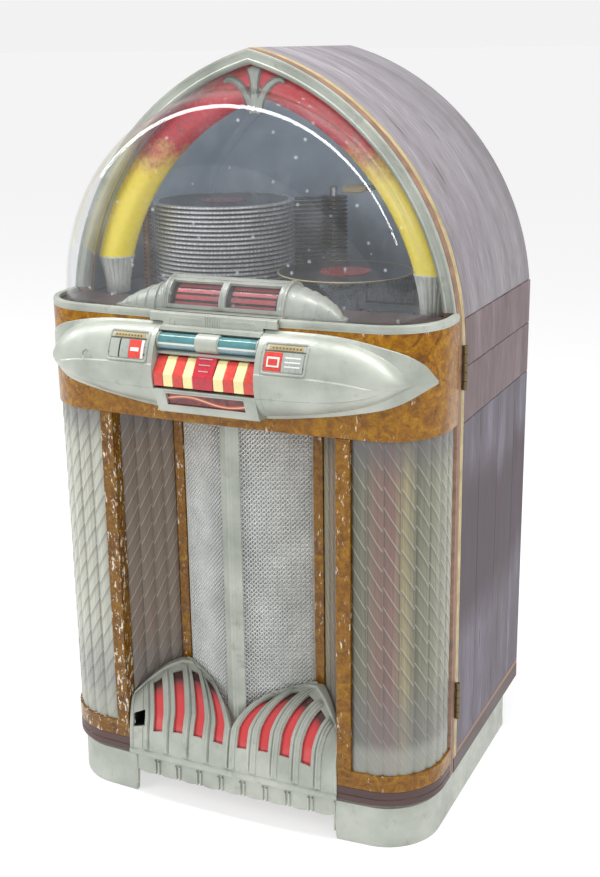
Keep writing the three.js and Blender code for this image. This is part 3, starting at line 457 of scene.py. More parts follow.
# ---- finishes -------------------------------------------------------------------------------
class Finish:
    """A procedural material: a few pattern nodes feeding one Principled shader."""

    def __init__(self, name, colour=(0.5, 0.5, 0.5), roughness=0.5, metallic=0.0, coat=0.0,
                 coat_roughness=0.1, glow=0.0):
        self.material = bpy.data.materials.new(name)
        self.material.use_nodes = True
        self.tree = self.material.node_tree
        self.shader = self.tree.nodes["Principled BSDF"]
        for key, value in (("Base Color", (*colour, 1)), ("Roughness", roughness), ("Metallic", metallic),
                           ("Coat Weight", coat), ("Coat Roughness", coat_roughness),
                           ("Emission Strength", glow)):
            self.shader.inputs[key].default_value = value

    def node(self, kind, **settings):
        made = self.tree.nodes.new(kind)
        for key, value in settings.items():
            setattr(made, key, value)
        return made

    def link(self, out, socket):
        self.tree.links.new(out, socket)

    def feed(self, value, socket):
        if isinstance(value, bpy.types.NodeSocket):
            self.link(value, socket)
        elif isinstance(value, tuple) and len(value) == 3 and socket.type == "RGBA":
            socket.default_value = (*value, 1)
        else:
            socket.default_value = value

    def place(self, stretch=(1, 1, 1), source="Object", turn=(0, 0, 0)):
        if source == "Object":
            out = self.node("ShaderNodeTexCoord").outputs["Object"]
        else:
            out = self.node("ShaderNodeAttribute", attribute_name=source).outputs["Vector"]
        if tuple(stretch) == (1, 1, 1) and tuple(turn) == (0, 0, 0):
            return out
        mapping = self.node("ShaderNodeMapping")
        mapping.inputs["Scale"].default_value = stretch
        mapping.inputs["Rotation"].default_value = turn
        self.link(out, mapping.inputs["Vector"])
        return mapping.outputs["Vector"]

    def noise(self, scale, stretch=(1, 1, 1), source="Object", detail=3.0, rough=0.55, bend=0.0,
              turn=(0, 0, 0)):
        tex = self.node("ShaderNodeTexNoise")
        tex.inputs["Scale"].default_value = scale
        tex.inputs["Detail"].default_value = detail
        tex.inputs["Roughness"].default_value = rough
        tex.inputs["Distortion"].default_value = bend
        self.link(self.place(stretch, source, turn), tex.inputs["Vector"])
        return tex.outputs["Fac"]

    def cells(self, scale, stretch=(1, 1, 1), source="Object"):
        tex = self.node("ShaderNodeTexVoronoi")
        tex.inputs["Scale"].default_value = scale
        self.link(self.place(stretch, source), tex.inputs["Vector"])
        return tex.outputs["Distance"]

    def axis(self, name, source="Object"):
        split = self.node("ShaderNodeSeparateXYZ")
        self.link(self.place(source=source), split.inputs[0])
        return split.outputs[name]

    def maths(self, operation, a, b=0.0):
        made = self.node("ShaderNodeMath", operation=operation)
        self.feed(a, made.inputs[0])
        self.feed(b, made.inputs[1])
        return made.outputs[0]

    def remap(self, value, low, high, to_low=0.0, to_high=1.0):
        made = self.node("ShaderNodeMapRange", interpolation_type="SMOOTHSTEP")
        for key, v in (("Value", value), ("From Min", low), ("From Max", high), ("To Min", to_low),
                       ("To Max", to_high)):
            self.feed(v, made.inputs[key])
        return made.outputs["Result"]

    def ramp(self, value, *stops):
        made = self.node("ShaderNodeValToRGB")
        ramp = made.color_ramp
        while len(ramp.elements) < len(stops):
            ramp.elements.new(0.5)
        for element, (position, colour) in zip(ramp.elements, stops):
            element.position = position
            element.color = (*colour, 1)
        self.link(value, made.inputs[0])
        return made.outputs["Color"]

    def mix(self, factor, a, b, blend="MIX"):
        made = self.node("ShaderNodeMix", data_type="RGBA", blend_type=blend)
        self.feed(factor, made.inputs[0])
        self.feed(a, made.inputs[6])
        self.feed(b, made.inputs[7])
        return made.outputs[2]

    def sway(self, noise, reach):
        """Noise centred on zero."""
        return self.maths("MULTIPLY", self.maths("SUBTRACT", noise, 0.5), reach)

    def over(self, base, mask, share, colour):
        """Lays a colour over the base where the mask is, at a share of full strength."""
        return self.mix(self.maths("MULTIPLY", mask, share), base, colour)

    def colour(self, socket, lit=False):
        self.link(socket, self.shader.inputs["Base Color"])
        if lit:
            self.link(socket, self.shader.inputs["Emission Color"])

    def rough(self, value, low, high):
        self.link(self.remap(value, 0.3, 0.7, low, high), self.shader.inputs["Roughness"])

    def bump(self, height, distance, strength=1.0):
        made = self.node("ShaderNodeBump")
        made.inputs["Distance"].default_value = distance
        made.inputs["Strength"].default_value = strength
        self.link(height, made.inputs["Height"])
        previous = self.shader.inputs["Normal"].links
        if previous:
            self.link(previous[0].from_socket, made.inputs["Normal"])
        self.link(made.outputs["Normal"], self.shader.inputs["Normal"])


def mix_shaders(tree, factor, a, b):
    made = tree.nodes.new("ShaderNodeMixShader")
    for value, socket in zip((factor, a, b), made.inputs):
        tree.links.new(value, socket)
    return made.outputs[0]


def cast_metal(name, dark, light):
    """Aged silver casting: soft mottling, a pebbled skin and grime in patches."""
    f = Finish(name, metallic=0.35)
    cloud = f.noise(9, detail=5)
    skin = f.noise(420, detail=2)
    base = f.ramp(cloud, (0.3, dark), (0.62, light), (0.8, tuple(c * 1.06 for c in light)))
    stain = f.remap(f.noise(34, detail=6, rough=0.7), 0.56, 0.70)
    f.colour(f.over(base, stain, 0.35, tuple(c * 0.55 for c in dark)))
    f.rough(f.noise(60, detail=4), 0.34, 0.5)
    f.bump(skin, 0.0003, 0.35)
    f.bump(cloud, 0.002, 0.15)
    return f.material


def burl_veneer(name, chips, tint=1.0):
    """Amber burl: swirled figure, dark eyes, light flecks and white chips through the lacquer."""
    f = Finish(name, roughness=0.4, coat=0.35, coat_roughness=0.06)
    f.shader.inputs["Specular IOR Level"].default_value = 0.2
    figure = f.noise(38, detail=6, rough=0.65, bend=1.6)
    fine = f.noise(230, detail=4, rough=0.7, bend=0.8)
    base = f.ramp(figure, (0.3, (0.12 * tint, 0.040 * tint, 0.001)),
                  (0.46, (0.235 * tint, 0.092 * tint, 0.001)), (0.6, (0.33 * tint, 0.150 * tint, 0.002)),
                  (0.75, (0.44 * tint, 0.225 * tint, 0.004)))
    grain = f.ramp(fine, (0.3, (0.42, 0.36, 0.3)), (0.55, (1, 1, 1)), (0.75, (1.12, 1.1, 1.0)))
    base = f.mix(0.5, base, grain, "MULTIPLY")
    eyes = f.remap(f.cells(95), 0.16, 0.04)
    base = f.over(base, eyes, 0.4, (0.1, 0.03, 0.006))
    patch = f.remap(f.noise(11, detail=2), 0.62 - 0.16 * chips, 0.7 - 0.1 * chips)
    streak = f.remap(f.noise(150, stretch=(1, 1, 0.35), detail=5, rough=0.75, turn=(0, 0.9, 0.3)),
                     0.66 - 0.05 * chips, 0.68 - 0.05 * chips)
    worn = f.maths("MULTIPLY", patch, streak)
    f.colour(f.mix(worn, base, (0.74, 0.68, 0.56)))
    f.rough(fine, 0.22, 0.4)
    f.bump(f.maths("SUBTRACT", fine, worn), 0.0004, 0.4)
    return f.material


def side_wood(name, dark, mid, light):
    """Weathered wood with long grain along the board, and painted shade in a darker band halfway up."""
    f = Finish(name, roughness=0.6)
    long_grain = f.noise(22, stretch=(1, 0.12, 1), source="grain", detail=6, rough=0.55, bend=0.3)
    pores = f.noise(420, stretch=(1, 0.045, 1), source="grain", detail=3, rough=0.6)
    tone = f.noise(2.6, stretch=(1, 0.4, 1), source="grain", detail=3)
    base = f.ramp(long_grain, (0.28, dark), (0.5, mid), (0.72, light))
    base = f.mix(0.8, base, f.ramp(pores, (0.32, (0.55, 0.53, 0.55)), (0.6, (1.1, 1.09, 1.1))), "MULTIPLY")
    base = f.mix(0.5, base, f.ramp(tone, (0.3, (0.84, 0.8, 0.83)), (0.7, (1.08, 1.07, 1.1))), "MULTIPLY")
    # painted shade: a dark band halfway up the boards.
    height = f.maths("ADD", f.axis("Z"), f.maths("MULTIPLY", tone, 0.3))
    painted_shade_band = f.maths("MULTIPLY", f.remap(height, 0.46, 0.58), f.remap(height, 0.84, 0.74))
    base = f.over(base, painted_shade_band, 0.85, f.ramp(long_grain, (0.3, (0.032, 0.019, 0.024)),
                                           (0.7, (0.082, 0.058, 0.07))))
    marks = f.remap(f.cells(26, stretch=(1, 0.12, 1), source="grain"), 0.12, 0.04)
    f.colour(f.over(base, marks, 0.6, (0.055, 0.035, 0.04)))
    f.rough(long_grain, 0.5, 0.72)
    f.bump(pores, 0.0006, 0.5)
    return f.material


def dark_wood(name, colour, light):
    f = Finish(name, roughness=0.5, coat=0.1)
    grain = f.noise(40, stretch=(0.06, 0.06, 1), detail=6, rough=0.6, bend=0.5)
    f.colour(f.ramp(grain, (0.3, colour), (0.7, light)))
    f.rough(grain, 0.4, 0.65)
    f.bump(grain, 0.0005, 0.4)
    return f.material


def moulded(name, colour, roughness=0.25, coat=0.3, spread=0.12, glow=0.0):
    """Moulded plastic: even colour with faint cloudiness and a slightly wavy gloss."""
    f = Finish(name, roughness=roughness, coat=coat, glow=glow)
    cloud = f.noise(30, detail=4)
    low, high = (tuple(min(1, c * share) for c in colour) for share in (1 - spread, 1 + spread))
    base = f.ramp(cloud, (0.3, low), (0.7, high))
    f.colour(base, lit=glow > 0)
    f.rough(f.noise(140, detail=3), roughness * 0.75, roughness * 1.5)
    f.bump(f.noise(90, detail=2), 0.0003, 0.25)
    return f.material


def slate_lining(name):
    """Blue-grey paint on the inside of the cabinet with a faint glow, painted light for the light inside it,
    and painted shade towards the mechanism shelf.
    """
    # The glow is painted light: the lining is no lamp.
    f = Finish(name, roughness=0.6, glow=0.13)
    cloud = f.noise(12, detail=5)
    base = f.ramp(cloud, (0.3, (0.39, 0.47, 0.55)), (0.7, (0.48, 0.58, 0.68)))
    # painted shade: darker towards the mechanism shelf.
    depth = f.remap(f.maths("ADD", f.axis("Z"), f.maths("MULTIPLY", cloud, 0.08)), 1.20, 0.98)
    base = f.over(base, depth, 0.75, (0.06, 0.065, 0.075))
    f.colour(base, lit=True)
    f.rough(cloud, 0.5, 0.7)
    f.bump(f.noise(90, detail=2), 0.0003, 0.25)
    return f.material


def plain_metal(name, colour, roughness, metallic=0.9, scratch=260):
    f = Finish(name, metallic=metallic)
    brushed = f.noise(scratch, stretch=(1, 1, 0.2), detail=4, rough=0.6)
    tone = f.noise(18, detail=4)
    f.colour(f.ramp(tone, (0.3, tuple(c * 0.78 for c in colour)), (0.7, colour)))
    f.rough(brushed, roughness * 0.7, roughness * 1.4)
    f.bump(brushed, 0.0001, 0.3)
    return f.material


def arch_plastic(name):
    """Yellow legs that pass through a mottled dark band into a red crown."""
    f = Finish(name, roughness=0.22, coat=0.3, coat_roughness=0.08, glow=0.17)
    height = f.maths("ADD", f.axis("Z"), f.sway(f.noise(26, detail=6, rough=0.7), 0.10))
    base = f.ramp(f.remap(height, 1.02, 1.42), (0.0, (0.86, 0.70, 0.03)), (0.42, (0.80, 0.62, 0.05)),
                  (0.54, (0.62, 0.33, 0.09)), (0.66, (0.52, 0.012, 0.030)), (1.0, (0.50, 0.004, 0.018)))
    band = f.maths("MULTIPLY", f.remap(height, 1.19, 1.24), f.remap(height, 1.34, 1.27))
    spots = f.remap(f.noise(120, detail=6, rough=0.75), 0.46, 0.6)
    base = f.over(base, f.maths("MULTIPLY", band, spots), 0.55, (0.07, 0.045, 0.03))
    f.colour(base, lit=True)
    f.rough(f.noise(90, detail=3), 0.16, 0.34)
    f.bump(f.noise(70, detail=3), 0.0004, 0.25)
    return f.material


def pilaster_plastic(name, stops, foot):
    """Frosted ribbed plastic with the colours of the lamp cylinder showing through as soft upright bands,
    with painted shade in the grooves, a painted highlight and painted shade along every twisted step, and
    painted shadow near the top and low down.
    The grain attribute holds the distance round the bend, the height and the fraction of one flute."""
    f = Finish(name, roughness=0.3, coat=0.3, coat_roughness=0.12, glow=0.02)
    around = f.axis("X", "grain")
    height = f.axis("Y", "grain")
    wander = f.sway(f.noise(9, stretch=(1, 0.5, 1), source="grain", detail=3), 0.05)
    base = f.ramp(f.maths("ADD", around, wander), *stops)
    cloud = f.noise(16, stretch=(1, 0.3, 1), source="grain", detail=5)
    base = f.mix(0.75, base, f.ramp(cloud, (0.3, (0.62, 0.61, 0.62)), (0.7, (1.15, 1.15, 1.12))), "MULTIPLY")
    flute = f.axis("Z", "grain")
    # painted shade: the groove between flutes is darkened.
    groove = f.remap(f.maths("ABSOLUTE", f.maths("SUBTRACT", flute, 0.5)), 0.34, 0.5)
    base = f.over(base, groove, 0.6, (0.06, 0.06, 0.045))
    # painted highlight and painted shade: a pale line and a dark line along every twisted step.
    step_shading = f.maths("FRACT", f.maths("ADD", f.maths("MULTIPLY", height, 27.0),
                                     f.maths("MULTIPLY", flute, 1.3)))
    base = f.over(base, f.remap(step_shading, 0.55, 0.95), 0.45, (0.10, 0.095, 0.085))
    base = f.over(base, f.remap(step_shading, 0.16, 0.02), 0.36, (0.58, 0.57, 0.48))
    streaks = f.noise(300, stretch=(1, 0.05, 1), source="grain", detail=4)
    base = f.mix(0.5, base, f.ramp(streaks, (0.35, (0.6, 0.6, 0.58)), (0.62, (1.25, 1.25, 1.2))), "MULTIPLY")
    # painted shadow: darker towards the top, under the waistband.
    base = f.over(base, f.remap(height, 0.70, 0.785), 0.7, (0.10, 0.095, 0.10))
    # painted shadow: a darker band low down, above the pale foot patch.
    low = f.maths("MULTIPLY", f.remap(height, 0.36, 0.24), f.remap(height, 0.185, 0.215))
    base = f.over(base, low, 0.45, (0.13, 0.13, 0.14))
    patch = f.remap(f.maths("ADD", height, f.maths("MULTIPLY", wander, 0.4)), 0.222, 0.19)
    base = f.over(base, patch, 0.75, foot)
    f.colour(base, lit=True)
    f.rough(streaks, 0.2, 0.42)
    f.bump(f.noise(240, stretch=(1, 0.3, 1), source="grain", detail=4), 0.0005, 0.3)
    return f.material


def lens_plastic(name):
    """Red lens, dark towards its top; grain Y is the share of the casting's height."""
    f = Finish(name, roughness=0.1, coat=0.7, coat_roughness=0.04, glow=0.05)
    reach = f.maths("ADD", f.axis("Y", "grain"), f.maths("MULTIPLY", f.noise(40, detail=3), 0.05))
    base = f.ramp(reach, (0.0, (0.62, 0.04, 0.045)), (0.58, (0.66, 0.045, 0.05)),
                  (0.68, (0.46, 0.028, 0.032)), (0.75, (0.07, 0.02, 0.018)), (1.0, (0.03, 0.016, 0.014)))
    f.colour(base, lit=True)
    f.rough(f.noise(60, detail=3), 0.08, 0.24)
    f.bump(f.noise(50, detail=3), 0.0008, 0.3)
    return f.material


def clear_shell(name):
    """Thin clear plastic, glossier towards its edges, with a faint film of dust."""
    f = Finish(name)
    f.tree.nodes.remove(f.shader)
    out = next(n for n in f.tree.nodes if n.type == "OUTPUT_MATERIAL")
    clear = f.node("ShaderNodeBsdfTransparent")
    clear.inputs["Color"].default_value = (0.985, 0.988, 0.992, 1)
    gloss = f.node("ShaderNodeBsdfGlossy")
    gloss.inputs["Color"].default_value = (1, 1, 1, 1)
    gloss.inputs["Roughness"].default_value = 0.03
    edge = f.node("ShaderNodeLayerWeight")
    edge.inputs["Blend"].default_value = 0.5
    rise = f.maths("POWER", edge.outputs["Facing"], 3.6)
    share = f.maths("ADD", f.maths("MULTIPLY", rise, 0.5), 0.04)
    shine = mix_shaders(f.tree, share, clear.outputs[0], gloss.outputs[0])
    dust = f.node("ShaderNodeBsdfDiffuse")
    dust.inputs["Color"].default_value = (0.80, 0.84, 0.92, 1)
    specks = f.remap(f.cells(30), 0.13, 0.05, 0, 0.22)
    film = f.remap(f.noise(14, detail=6, rough=0.7), 0.45, 0.75, 0.006, 0.035)
    haze = mix_shaders(f.tree, f.maths("ADD", specks, film), shine, dust.outputs[0])
    f.link(haze, out.inputs["Surface"])
    return f.material


def pressed_vinyl(name):
    """Record grooves: fine rings in the gloss, round the disc's own centre in the grain attribute."""
    f = Finish(name, (0.012, 0.012, 0.014), 0.22, coat=0.3)
    rings = f.node("ShaderNodeTexWave", wave_type="RINGS", rings_direction="Z")
    rings.inputs["Scale"].default_value = 160
    rings.inputs["Distortion"].default_value = 0.3
    f.link(f.place(source="grain"), rings.inputs["Vector"])
    f.colour(f.ramp(f.noise(20, detail=3, source="grain"), (0.3, (0.008, 0.008, 0.01)),
                    (0.7, (0.022, 0.022, 0.026))))
    f.rough(rings.outputs["Fac"], 0.18, 0.34)
    f.bump(rings.outputs["Fac"], 0.0002, 0.4)
    return f.material


def flame_glass(name):
    """Dark red glossy window with one pale orange streak that waves across it."""
    f = Finish(name, roughness=0.1, coat=0.7, coat_roughness=0.04)
    across = f.maths("MULTIPLY", f.axis("X"), 42)
    line = f.maths("MULTIPLY", f.maths("SINE", across), 0.0055)
    height = f.maths("ADD", f.axis("Z"), line)
    middle = f.maths("ADD", f.maths("MULTIPLY", f.axis("X"), -0.02), 0.8375)
    offset = f.maths("ABSOLUTE", f.maths("SUBTRACT", height, middle))
    glow = f.remap(offset, 0.0048, 0.0014)
    core = f.remap(offset, 0.0016, 0.0005)
    cloud = f.noise(70, detail=5, bend=0.8)
    base = f.ramp(cloud, (0.3, (0.05, 0.006, 0.01)), (0.55, (0.15, 0.012, 0.016)), (0.75, (0.34, 0.05, 0.03)))
    base = f.over(base, glow, 0.8, (0.55, 0.10, 0.03))
    base = f.over(base, core, 0.8, (0.86, 0.56, 0.38))
    f.colour(base)
    f.rough(cloud, 0.06, 0.16)
    f.bump(cloud, 0.0006, 0.3)
    return f.material


SILVER = cast_metal("silver_casting", (0.31, 0.335, 0.295), (0.47, 0.495, 0.44))
# A darker copy of the silver casting: painted shade for outlines, backing plates and small recessed marks.
SILVER_PAINTED_SHADE = cast_metal("silver_casting_shaded", (0.06, 0.065, 0.05), (0.15, 0.155, 0.13))
BURL = burl_veneer("burl_veneer", chips=0.85)
BURL_WORN = burl_veneer("burl_veneer_worn", chips=1.25, tint=0.85)
BURL_BATTERED = burl_veneer("burl_veneer_battered", chips=1.8, tint=0.66)
# The side woods are darker than the boards' own colour, partly painted shade on the cabinet's sides; the top
# wood is a lighter copy, painted light falling on the top.
LAVENDER_SHADED = side_wood("side_wood", (0.064, 0.052, 0.062), (0.145, 0.13, 0.157), (0.235, 0.222, 0.262))
PINKISH_SHADED = side_wood("side_wood_brown", (0.105, 0.068, 0.068), (0.18, 0.132, 0.135), (0.25, 0.205, 0.215))
TOP_WOOD_PAINTED_LIGHT = side_wood("side_wood_top", (0.20, 0.18, 0.19), (0.275, 0.26, 0.275), (0.34, 0.33, 0.345))
EDGE_WOOD = dark_wood("side_wood_edge", (0.16, 0.085, 0.055), (0.33, 0.19, 0.13))
MAHOGANY = dark_wood("dark_wood", (0.040, 0.018, 0.018), (0.105, 0.055, 0.05))
DECK = dark_wood("dark_deck", (0.018, 0.012, 0.013), (0.07, 0.042, 0.042))
SLATE_PAINTED_LIGHT = slate_lining("slate_lining")
CREAM = moulded("cream_trim", (0.44, 0.345, 0.17), 0.4, 0.1, 0.25)
BLACK = plain_metal("black_metal", (0.035, 0.037, 0.042), 0.45, 0.4)
STEEL = plain_metal("steel", (0.62, 0.64, 0.68), 0.26, 0.95)
TRAY = plain_metal("tray_rim", (0.86, 0.88, 0.91), 0.24, 0.35)
BRASS = plain_metal("brass_fittings", (0.20, 0.15, 0.08), 0.45, 0.7)
BRONZE = plain_metal("tray_hub", (0.11, 0.095, 0.07), 0.35, 0.8)
WIRE = plain_metal("woven_wire", (0.90, 0.92, 0.91), 0.32, 0.4, 700)
CLOTH = moulded("grille_backing", (0.76, 0.78, 0.75), 0.8, 0.0, 0.25)
ARCH = arch_plastic("lit_plastic")
CUP = moulded("ribbed_plastic", (0.66, 0.68, 0.64), 0.3, 0.4, 0.15)
CLEAR = clear_shell("clear_dome")
RED = moulded("red_plastic", (0.60, 0.045, 0.032), 0.25, 0.5, 0.15)
YELLOW = moulded("cream_plastic", (0.86, 0.74, 0.36), 0.3, 0.4, 0.08)
CRIMSON = moulded("crimson_plastic", (0.47, 0.014, 0.035), 0.22, 0.5, 0.15)
TEAL = moulded("teal_plastic", (0.06, 0.185, 0.195), 0.1, 0.8, 0.25)
PALE_TEAL = moulded("pale_teal_plastic", (0.25, 0.40, 0.45), 0.15, 0.6, 0.2)
GOLD = plain_metal("gold_strip", (0.50, 0.38, 0.18), 0.4, 0.5)
WHITE = moulded("white_field", (0.68, 0.70, 0.66), 0.35, 0.3, 0.06)
PLATE = plain_metal("label_plate", (0.46, 0.50, 0.46), 0.35, 0.4)
STRIP = moulded("title_strip", (0.36, 0.055, 0.06), 0.35, 0.3, 0.2, glow=0.04)
VINYL = pressed_vinyl("black_vinyl")
LENS = lens_plastic("red_lens")
FLAME = flame_glass("flame_glass")
# Near-black for painted shade: in slots, holes, gaps and cups, and on sheets set where there is only shade.
PAINTED_SHADE_BLACK = moulded("dark_recess", (0.012, 0.012, 0.013), 0.7, 0.0, 0.2)
OUTER_BANDS = (
    (0.0, (0.085, 0.085, 0.062)), (0.09, (0.155, 0.15, 0.115)), (0.2, (0.20, 0.125, 0.10)),
    (0.31, (0.20, 0.11, 0.10)),
    (0.41, (0.30, 0.26, 0.15)), (0.5, (0.14, 0.14, 0.098)), (0.64, (0.20, 0.20, 0.145)),
    (1.0, (0.34, 0.345, 0.275)),
)
LEFT_BANDS = (
    (0.0, (0.22, 0.18, 0.13)), (0.2, (0.34, 0.31, 0.24)), (0.5, (0.43, 0.43, 0.35)),
    (1.0, (0.47, 0.48, 0.42)),
)
INNER_BANDS = (
    (0.0, (0.30, 0.295, 0.22)), (0.3, (0.24, 0.205, 0.15)), (0.6, (0.22, 0.165, 0.125)),
    (1.0, (0.18, 0.125, 0.09)),
)
PILASTER = {
    ("outer", 1): pilaster_plastic("pilaster_right", OUTER_BANDS, (0.27, 0.28, 0.25)),
    ("outer", -1): pilaster_plastic("pilaster_left", LEFT_BANDS, (0.29, 0.30, 0.26)),
    ("inner", 1): pilaster_plastic("pilaster_inner_right", INNER_BANDS, (0.3, 0.3, 0.28)),
    ("inner", -1): pilaster_plastic("pilaster_inner_left", INNER_BANDS, (0.3, 0.3, 0.28)),
}


# ---- cabinet --------------------------------------------------------------------------------
def base_casting():
    """Skirt with a ledge line, a scalloped apron between the feet and pairs of short ribs."""
    leg_x, scallops, apron_z, leg_edge = 212, 9, 50, 5
    pitch = 2 * leg_x / scallops
    rear_y = CABINET_DEPTH - 70
    profile = [(90, 13), (87, 11.5), (84, 11.5), (81.5, 8.6), (79, 9.4), (30, 9.0), (10, 8.2), (3, 8.6),
               (0, 10)]

    def lower(x):
        across = abs(x)
        if across < leg_x:
            return apron_z - 5 * math.sin(math.pi * (((across + leg_x) / pitch) % 1))
        return apron_z * (1 - smooth((across - leg_x) / leg_edge)) if across < leg_x + leg_edge else 0.0

    fronts = steps(0, leg_x, scallops * 5)
    fronts += steps(leg_x, leg_x + leg_edge, 5)[1:] + steps(leg_x + leg_edge, CORNER_X, 3)[1:]

    def path(inset):
        return both_halves(bow_half(inset, fronts, steps(CORNER_Y, rear_y, 5)[1:], 20))

    def grid(extra):
        rows = []
        for z, inset in profile:
            low = [lower(x) if y < -100 else 0 for x, y in path(inset)]
            rows.append([(x, y, foot + (BASE_TOP - foot) * (z / BASE_TOP))
                         for foot, (x, y) in zip(low, path(inset + extra))])
        return rows

    parts = [(wall(grid(0), grid(9)), SILVER)]
    parts.append((box(-380, 380, rear_y - 10, rear_y, 0, BASE_TOP), SILVER))
    for k in range(1, scallops):
        for dx in (-4.2, 4.2):
            x = -leg_x + k * pitch + dx
            y = bow_y(x, 9)
            z0 = lower(x) + 0.4
            rib = [(x - 2.2, y + 1), (x - 1.5, y - 3.4), (x + 1.5, y - 3.4), (x + 2.2, y + 1)]
            parts.append((prism(rib, z0, 77), SILVER))
    for side in (-1, 1):
        x = side * (leg_x + 1)
        parts.append((prism([(x - 1.6, bow_y(x, 9) + 1), (x - 1.2, bow_y(x, 9) - 1.7),
                             (x + 1.2, bow_y(x, 9) - 1.7), (x + 1.6, bow_y(x, 9) + 1)], 18, 79), SILVER))
    make("base", parts, "cabinet", ["base_casting"], crease=40)


def side_panels():
    """Planked sides: upright boards below, two level boards under the arch, and a brown sill."""
    for name, side in SIDES:
        outer = HALF_WIDTH
        parts = []
        seams = [TRIM_DEPTH + GAP, 118, 236, 352, CABINET_DEPTH]
        rows = [(FLOOR_TOP + GAP, 131, EDGE_WOOD, seams[:1] + seams[-1:]), (131.8, 779, LAVENDER_SHADED, seams),
                (780.4, 880, PINKISH_SHADED, seams[:1] + seams[-1:]),
                (881.4, SIDE_TOP - 1, PINKISH_SHADED, seams[:1] + [300] + seams[-1:])]
        for number, (z0, z1, finish, ys) in enumerate(rows):
            for k in range(len(ys) - 1):
                board = box(outer - SIDE_THICKNESS, outer, ys[k] + 0.6, ys[k + 1] - 0.6, z0, z1)
                shift = (number * 1.7 + k * 0.9, number * 0.6 + k * 0.37)
                board = grained(board, lambda p, s=shift: (p[1] * MM + s[0], p[2] * MM + s[1], p[0] * MM))
                parts.append((sided(board, side), finish))
        back = box(outer - SIDE_THICKNESS - 0.4, outer - SIDE_THICKNESS + 1, TRIM_DEPTH + 1,
                   CABINET_DEPTH - 1, FLOOR_TOP + 1, SIDE_TOP - 1)
        parts.append((sided(back, side), SLATE_PAINTED_LIGHT))
        make(f"side_boards_{name}", parts, "cabinet", [f"side_panel_{name}"], bevel=0.7)


def arch_top():
    """Bent top in one sheet of veneer over a slate lining, with a batten in front of the rear cover."""
    y0, y1 = TRIM_DEPTH + GAP, CABINET_DEPTH
    veneer = arch_sweep([(0.5, y0), (0, y0 + 0.5), (0, y1 - 0.6), (0.6, y1), (TOP_THICKNESS - 1, y1),
                         (TOP_THICKNESS - 1, y0)], SIDE_TOP + GAP, 56)
    lining = arch_sweep([(TOP_THICKNESS - 1.2, y0 + 0.2), (TOP_THICKNESS - 1.2, y1 - 0.2),
                         (TOP_THICKNESS, y1 - 0.2), (TOP_THICKNESS, y0 + 0.2)], SIDE_TOP + GAP, 56)
    batten = arch_sweep([(TOP_THICKNESS - 0.5, 411), (28, 411), (30, 413), (30, 423.6),
                         (TOP_THICKNESS - 0.5, 423.6)],
                        SIDE_TOP + GAP, 56)
    make("arch_veneer", [(veneer, TOP_WOOD_PAINTED_LIGHT), (lining, SLATE_PAINTED_LIGHT), (batten, SLATE_PAINTED_LIGHT)], "cabinet",
         ["arch_top"], crease=50)


def seam_trim():
    section = [(0.3, 1), (0, 1.6), (0, 5.5), (1.0, 6.2), (1.0, 8), (0, 8.8), (0, TRIM_DEPTH - 0.6),
               (0.6, TRIM_DEPTH), (SIDE_THICKNESS, TRIM_DEPTH), (SIDE_THICKNESS, 0), (0.8, 0)]
    make("cabinet_trim", [(arch_sweep(section, FLOOR_TOP + GAP, 56), CREAM)], "cabinet",
         ["seam_trim"], crease=50)


def screw(x, y, z):
    """A slotted round-head screw that faces backwards."""
    radius = 4.2
    profile = [(0, 0), (radius, 0), (radius * 0.92, 0.9), (radius * 0.6, 1.7), (0, 2.0)]
    head = revolve(profile, (0, 0, 0), "y", 20)
    # The slot is painted shade in black.
    slot = box(-radius * 0.75, radius * 0.75, 1.7, 2.15, -0.45, 0.45)
    return [(shifted(head, x, y, z), STEEL), (shifted(slot, x, y, z), PAINTED_SHADE_BLACK)]


def rear_covers():
    """Vented back panels with louvre slots, screws and the mains inlet; slate on the inside."""
    y0, y1 = 424, 434
    split = 700

    def slots(z_low):
        corners = ((-1, 0), (1, 0), (1, 12), (-1, 12))
        return [[(c * 140 + sx * 55, z_low + row * 34 + dz) for sx, dz in corners]
                for row in range(3) for c in (-1, 0, 1)]

    outline = [(-371, FLOOR_TOP + 1), (371, FLOOR_TOP + 1), (371, split), (-371, split)]
    lower = prism(outline, y0 + 2, y1, "y", slots(520))
    lower_in = prism(outline, y0, y0 + 2, "y", slots(520))
    # A black sheet behind the lower slots is painted shade: it stands where there is only shade inside the
    # cabinet.
    parts = [(lower, MAHOGANY), (lower_in, SLATE_PAINTED_LIGHT), (box(-215, 215, y0 - 2, y0 + 0.5, 505, 615), PAINTED_SHADE_BLACK)]
    for x in (-350, 0, 350):
        for z in (150, 410, 680):
            parts += screw(x, y1 - 0.2, z)
    rim = rounded(250, 290, 160, 188, 4)
    well = rounded(254, 286, 164, 184, 3)
    parts.append((prism(rim, y1 - 0.5, CABINET_DEPTH - 1.2, "y", [well]), BLACK))
    parts.append((prism(well, y1 - 0.4, y1 + 0.6, "y"), BLACK))
    for dx in (-8, 0, 8):
        parts.append((box(269 + dx, 271.4 + dx, y1, CABINET_DEPTH - 2.5, 171, 178), BRASS))
    make("back_lower", parts, "cabinet", ["rear_cover_lower"], bevel=0.5)
    outline = arch_full(19, split + 2, 40)
    upper = prism(outline, y0 + 2, y1, "y", slots(1150))
    upper_in = prism(outline, y0, y0 + 2, "y", slots(1150))
    # A slate sheet behind the upper slots stands in for the shade inside the cabinet, as painted shade.
    parts = [(upper, MAHOGANY), (upper_in, SLATE_PAINTED_LIGHT), (box(-215, 215, y0 - 2, y0 + 0.5, 1135, 1245), SLATE_PAINTED_LIGHT)]
    for x, z in ((-350, 725), (0, 725), (350, 725), (-345, 1000), (345, 1000), (-210, 1270), (210, 1270),
                 (0, 1370)):
        parts += screw(x, y1 - 0.2, z)
    make("back_upper", parts, "cabinet", ["rear_cover_upper"], crease=30)


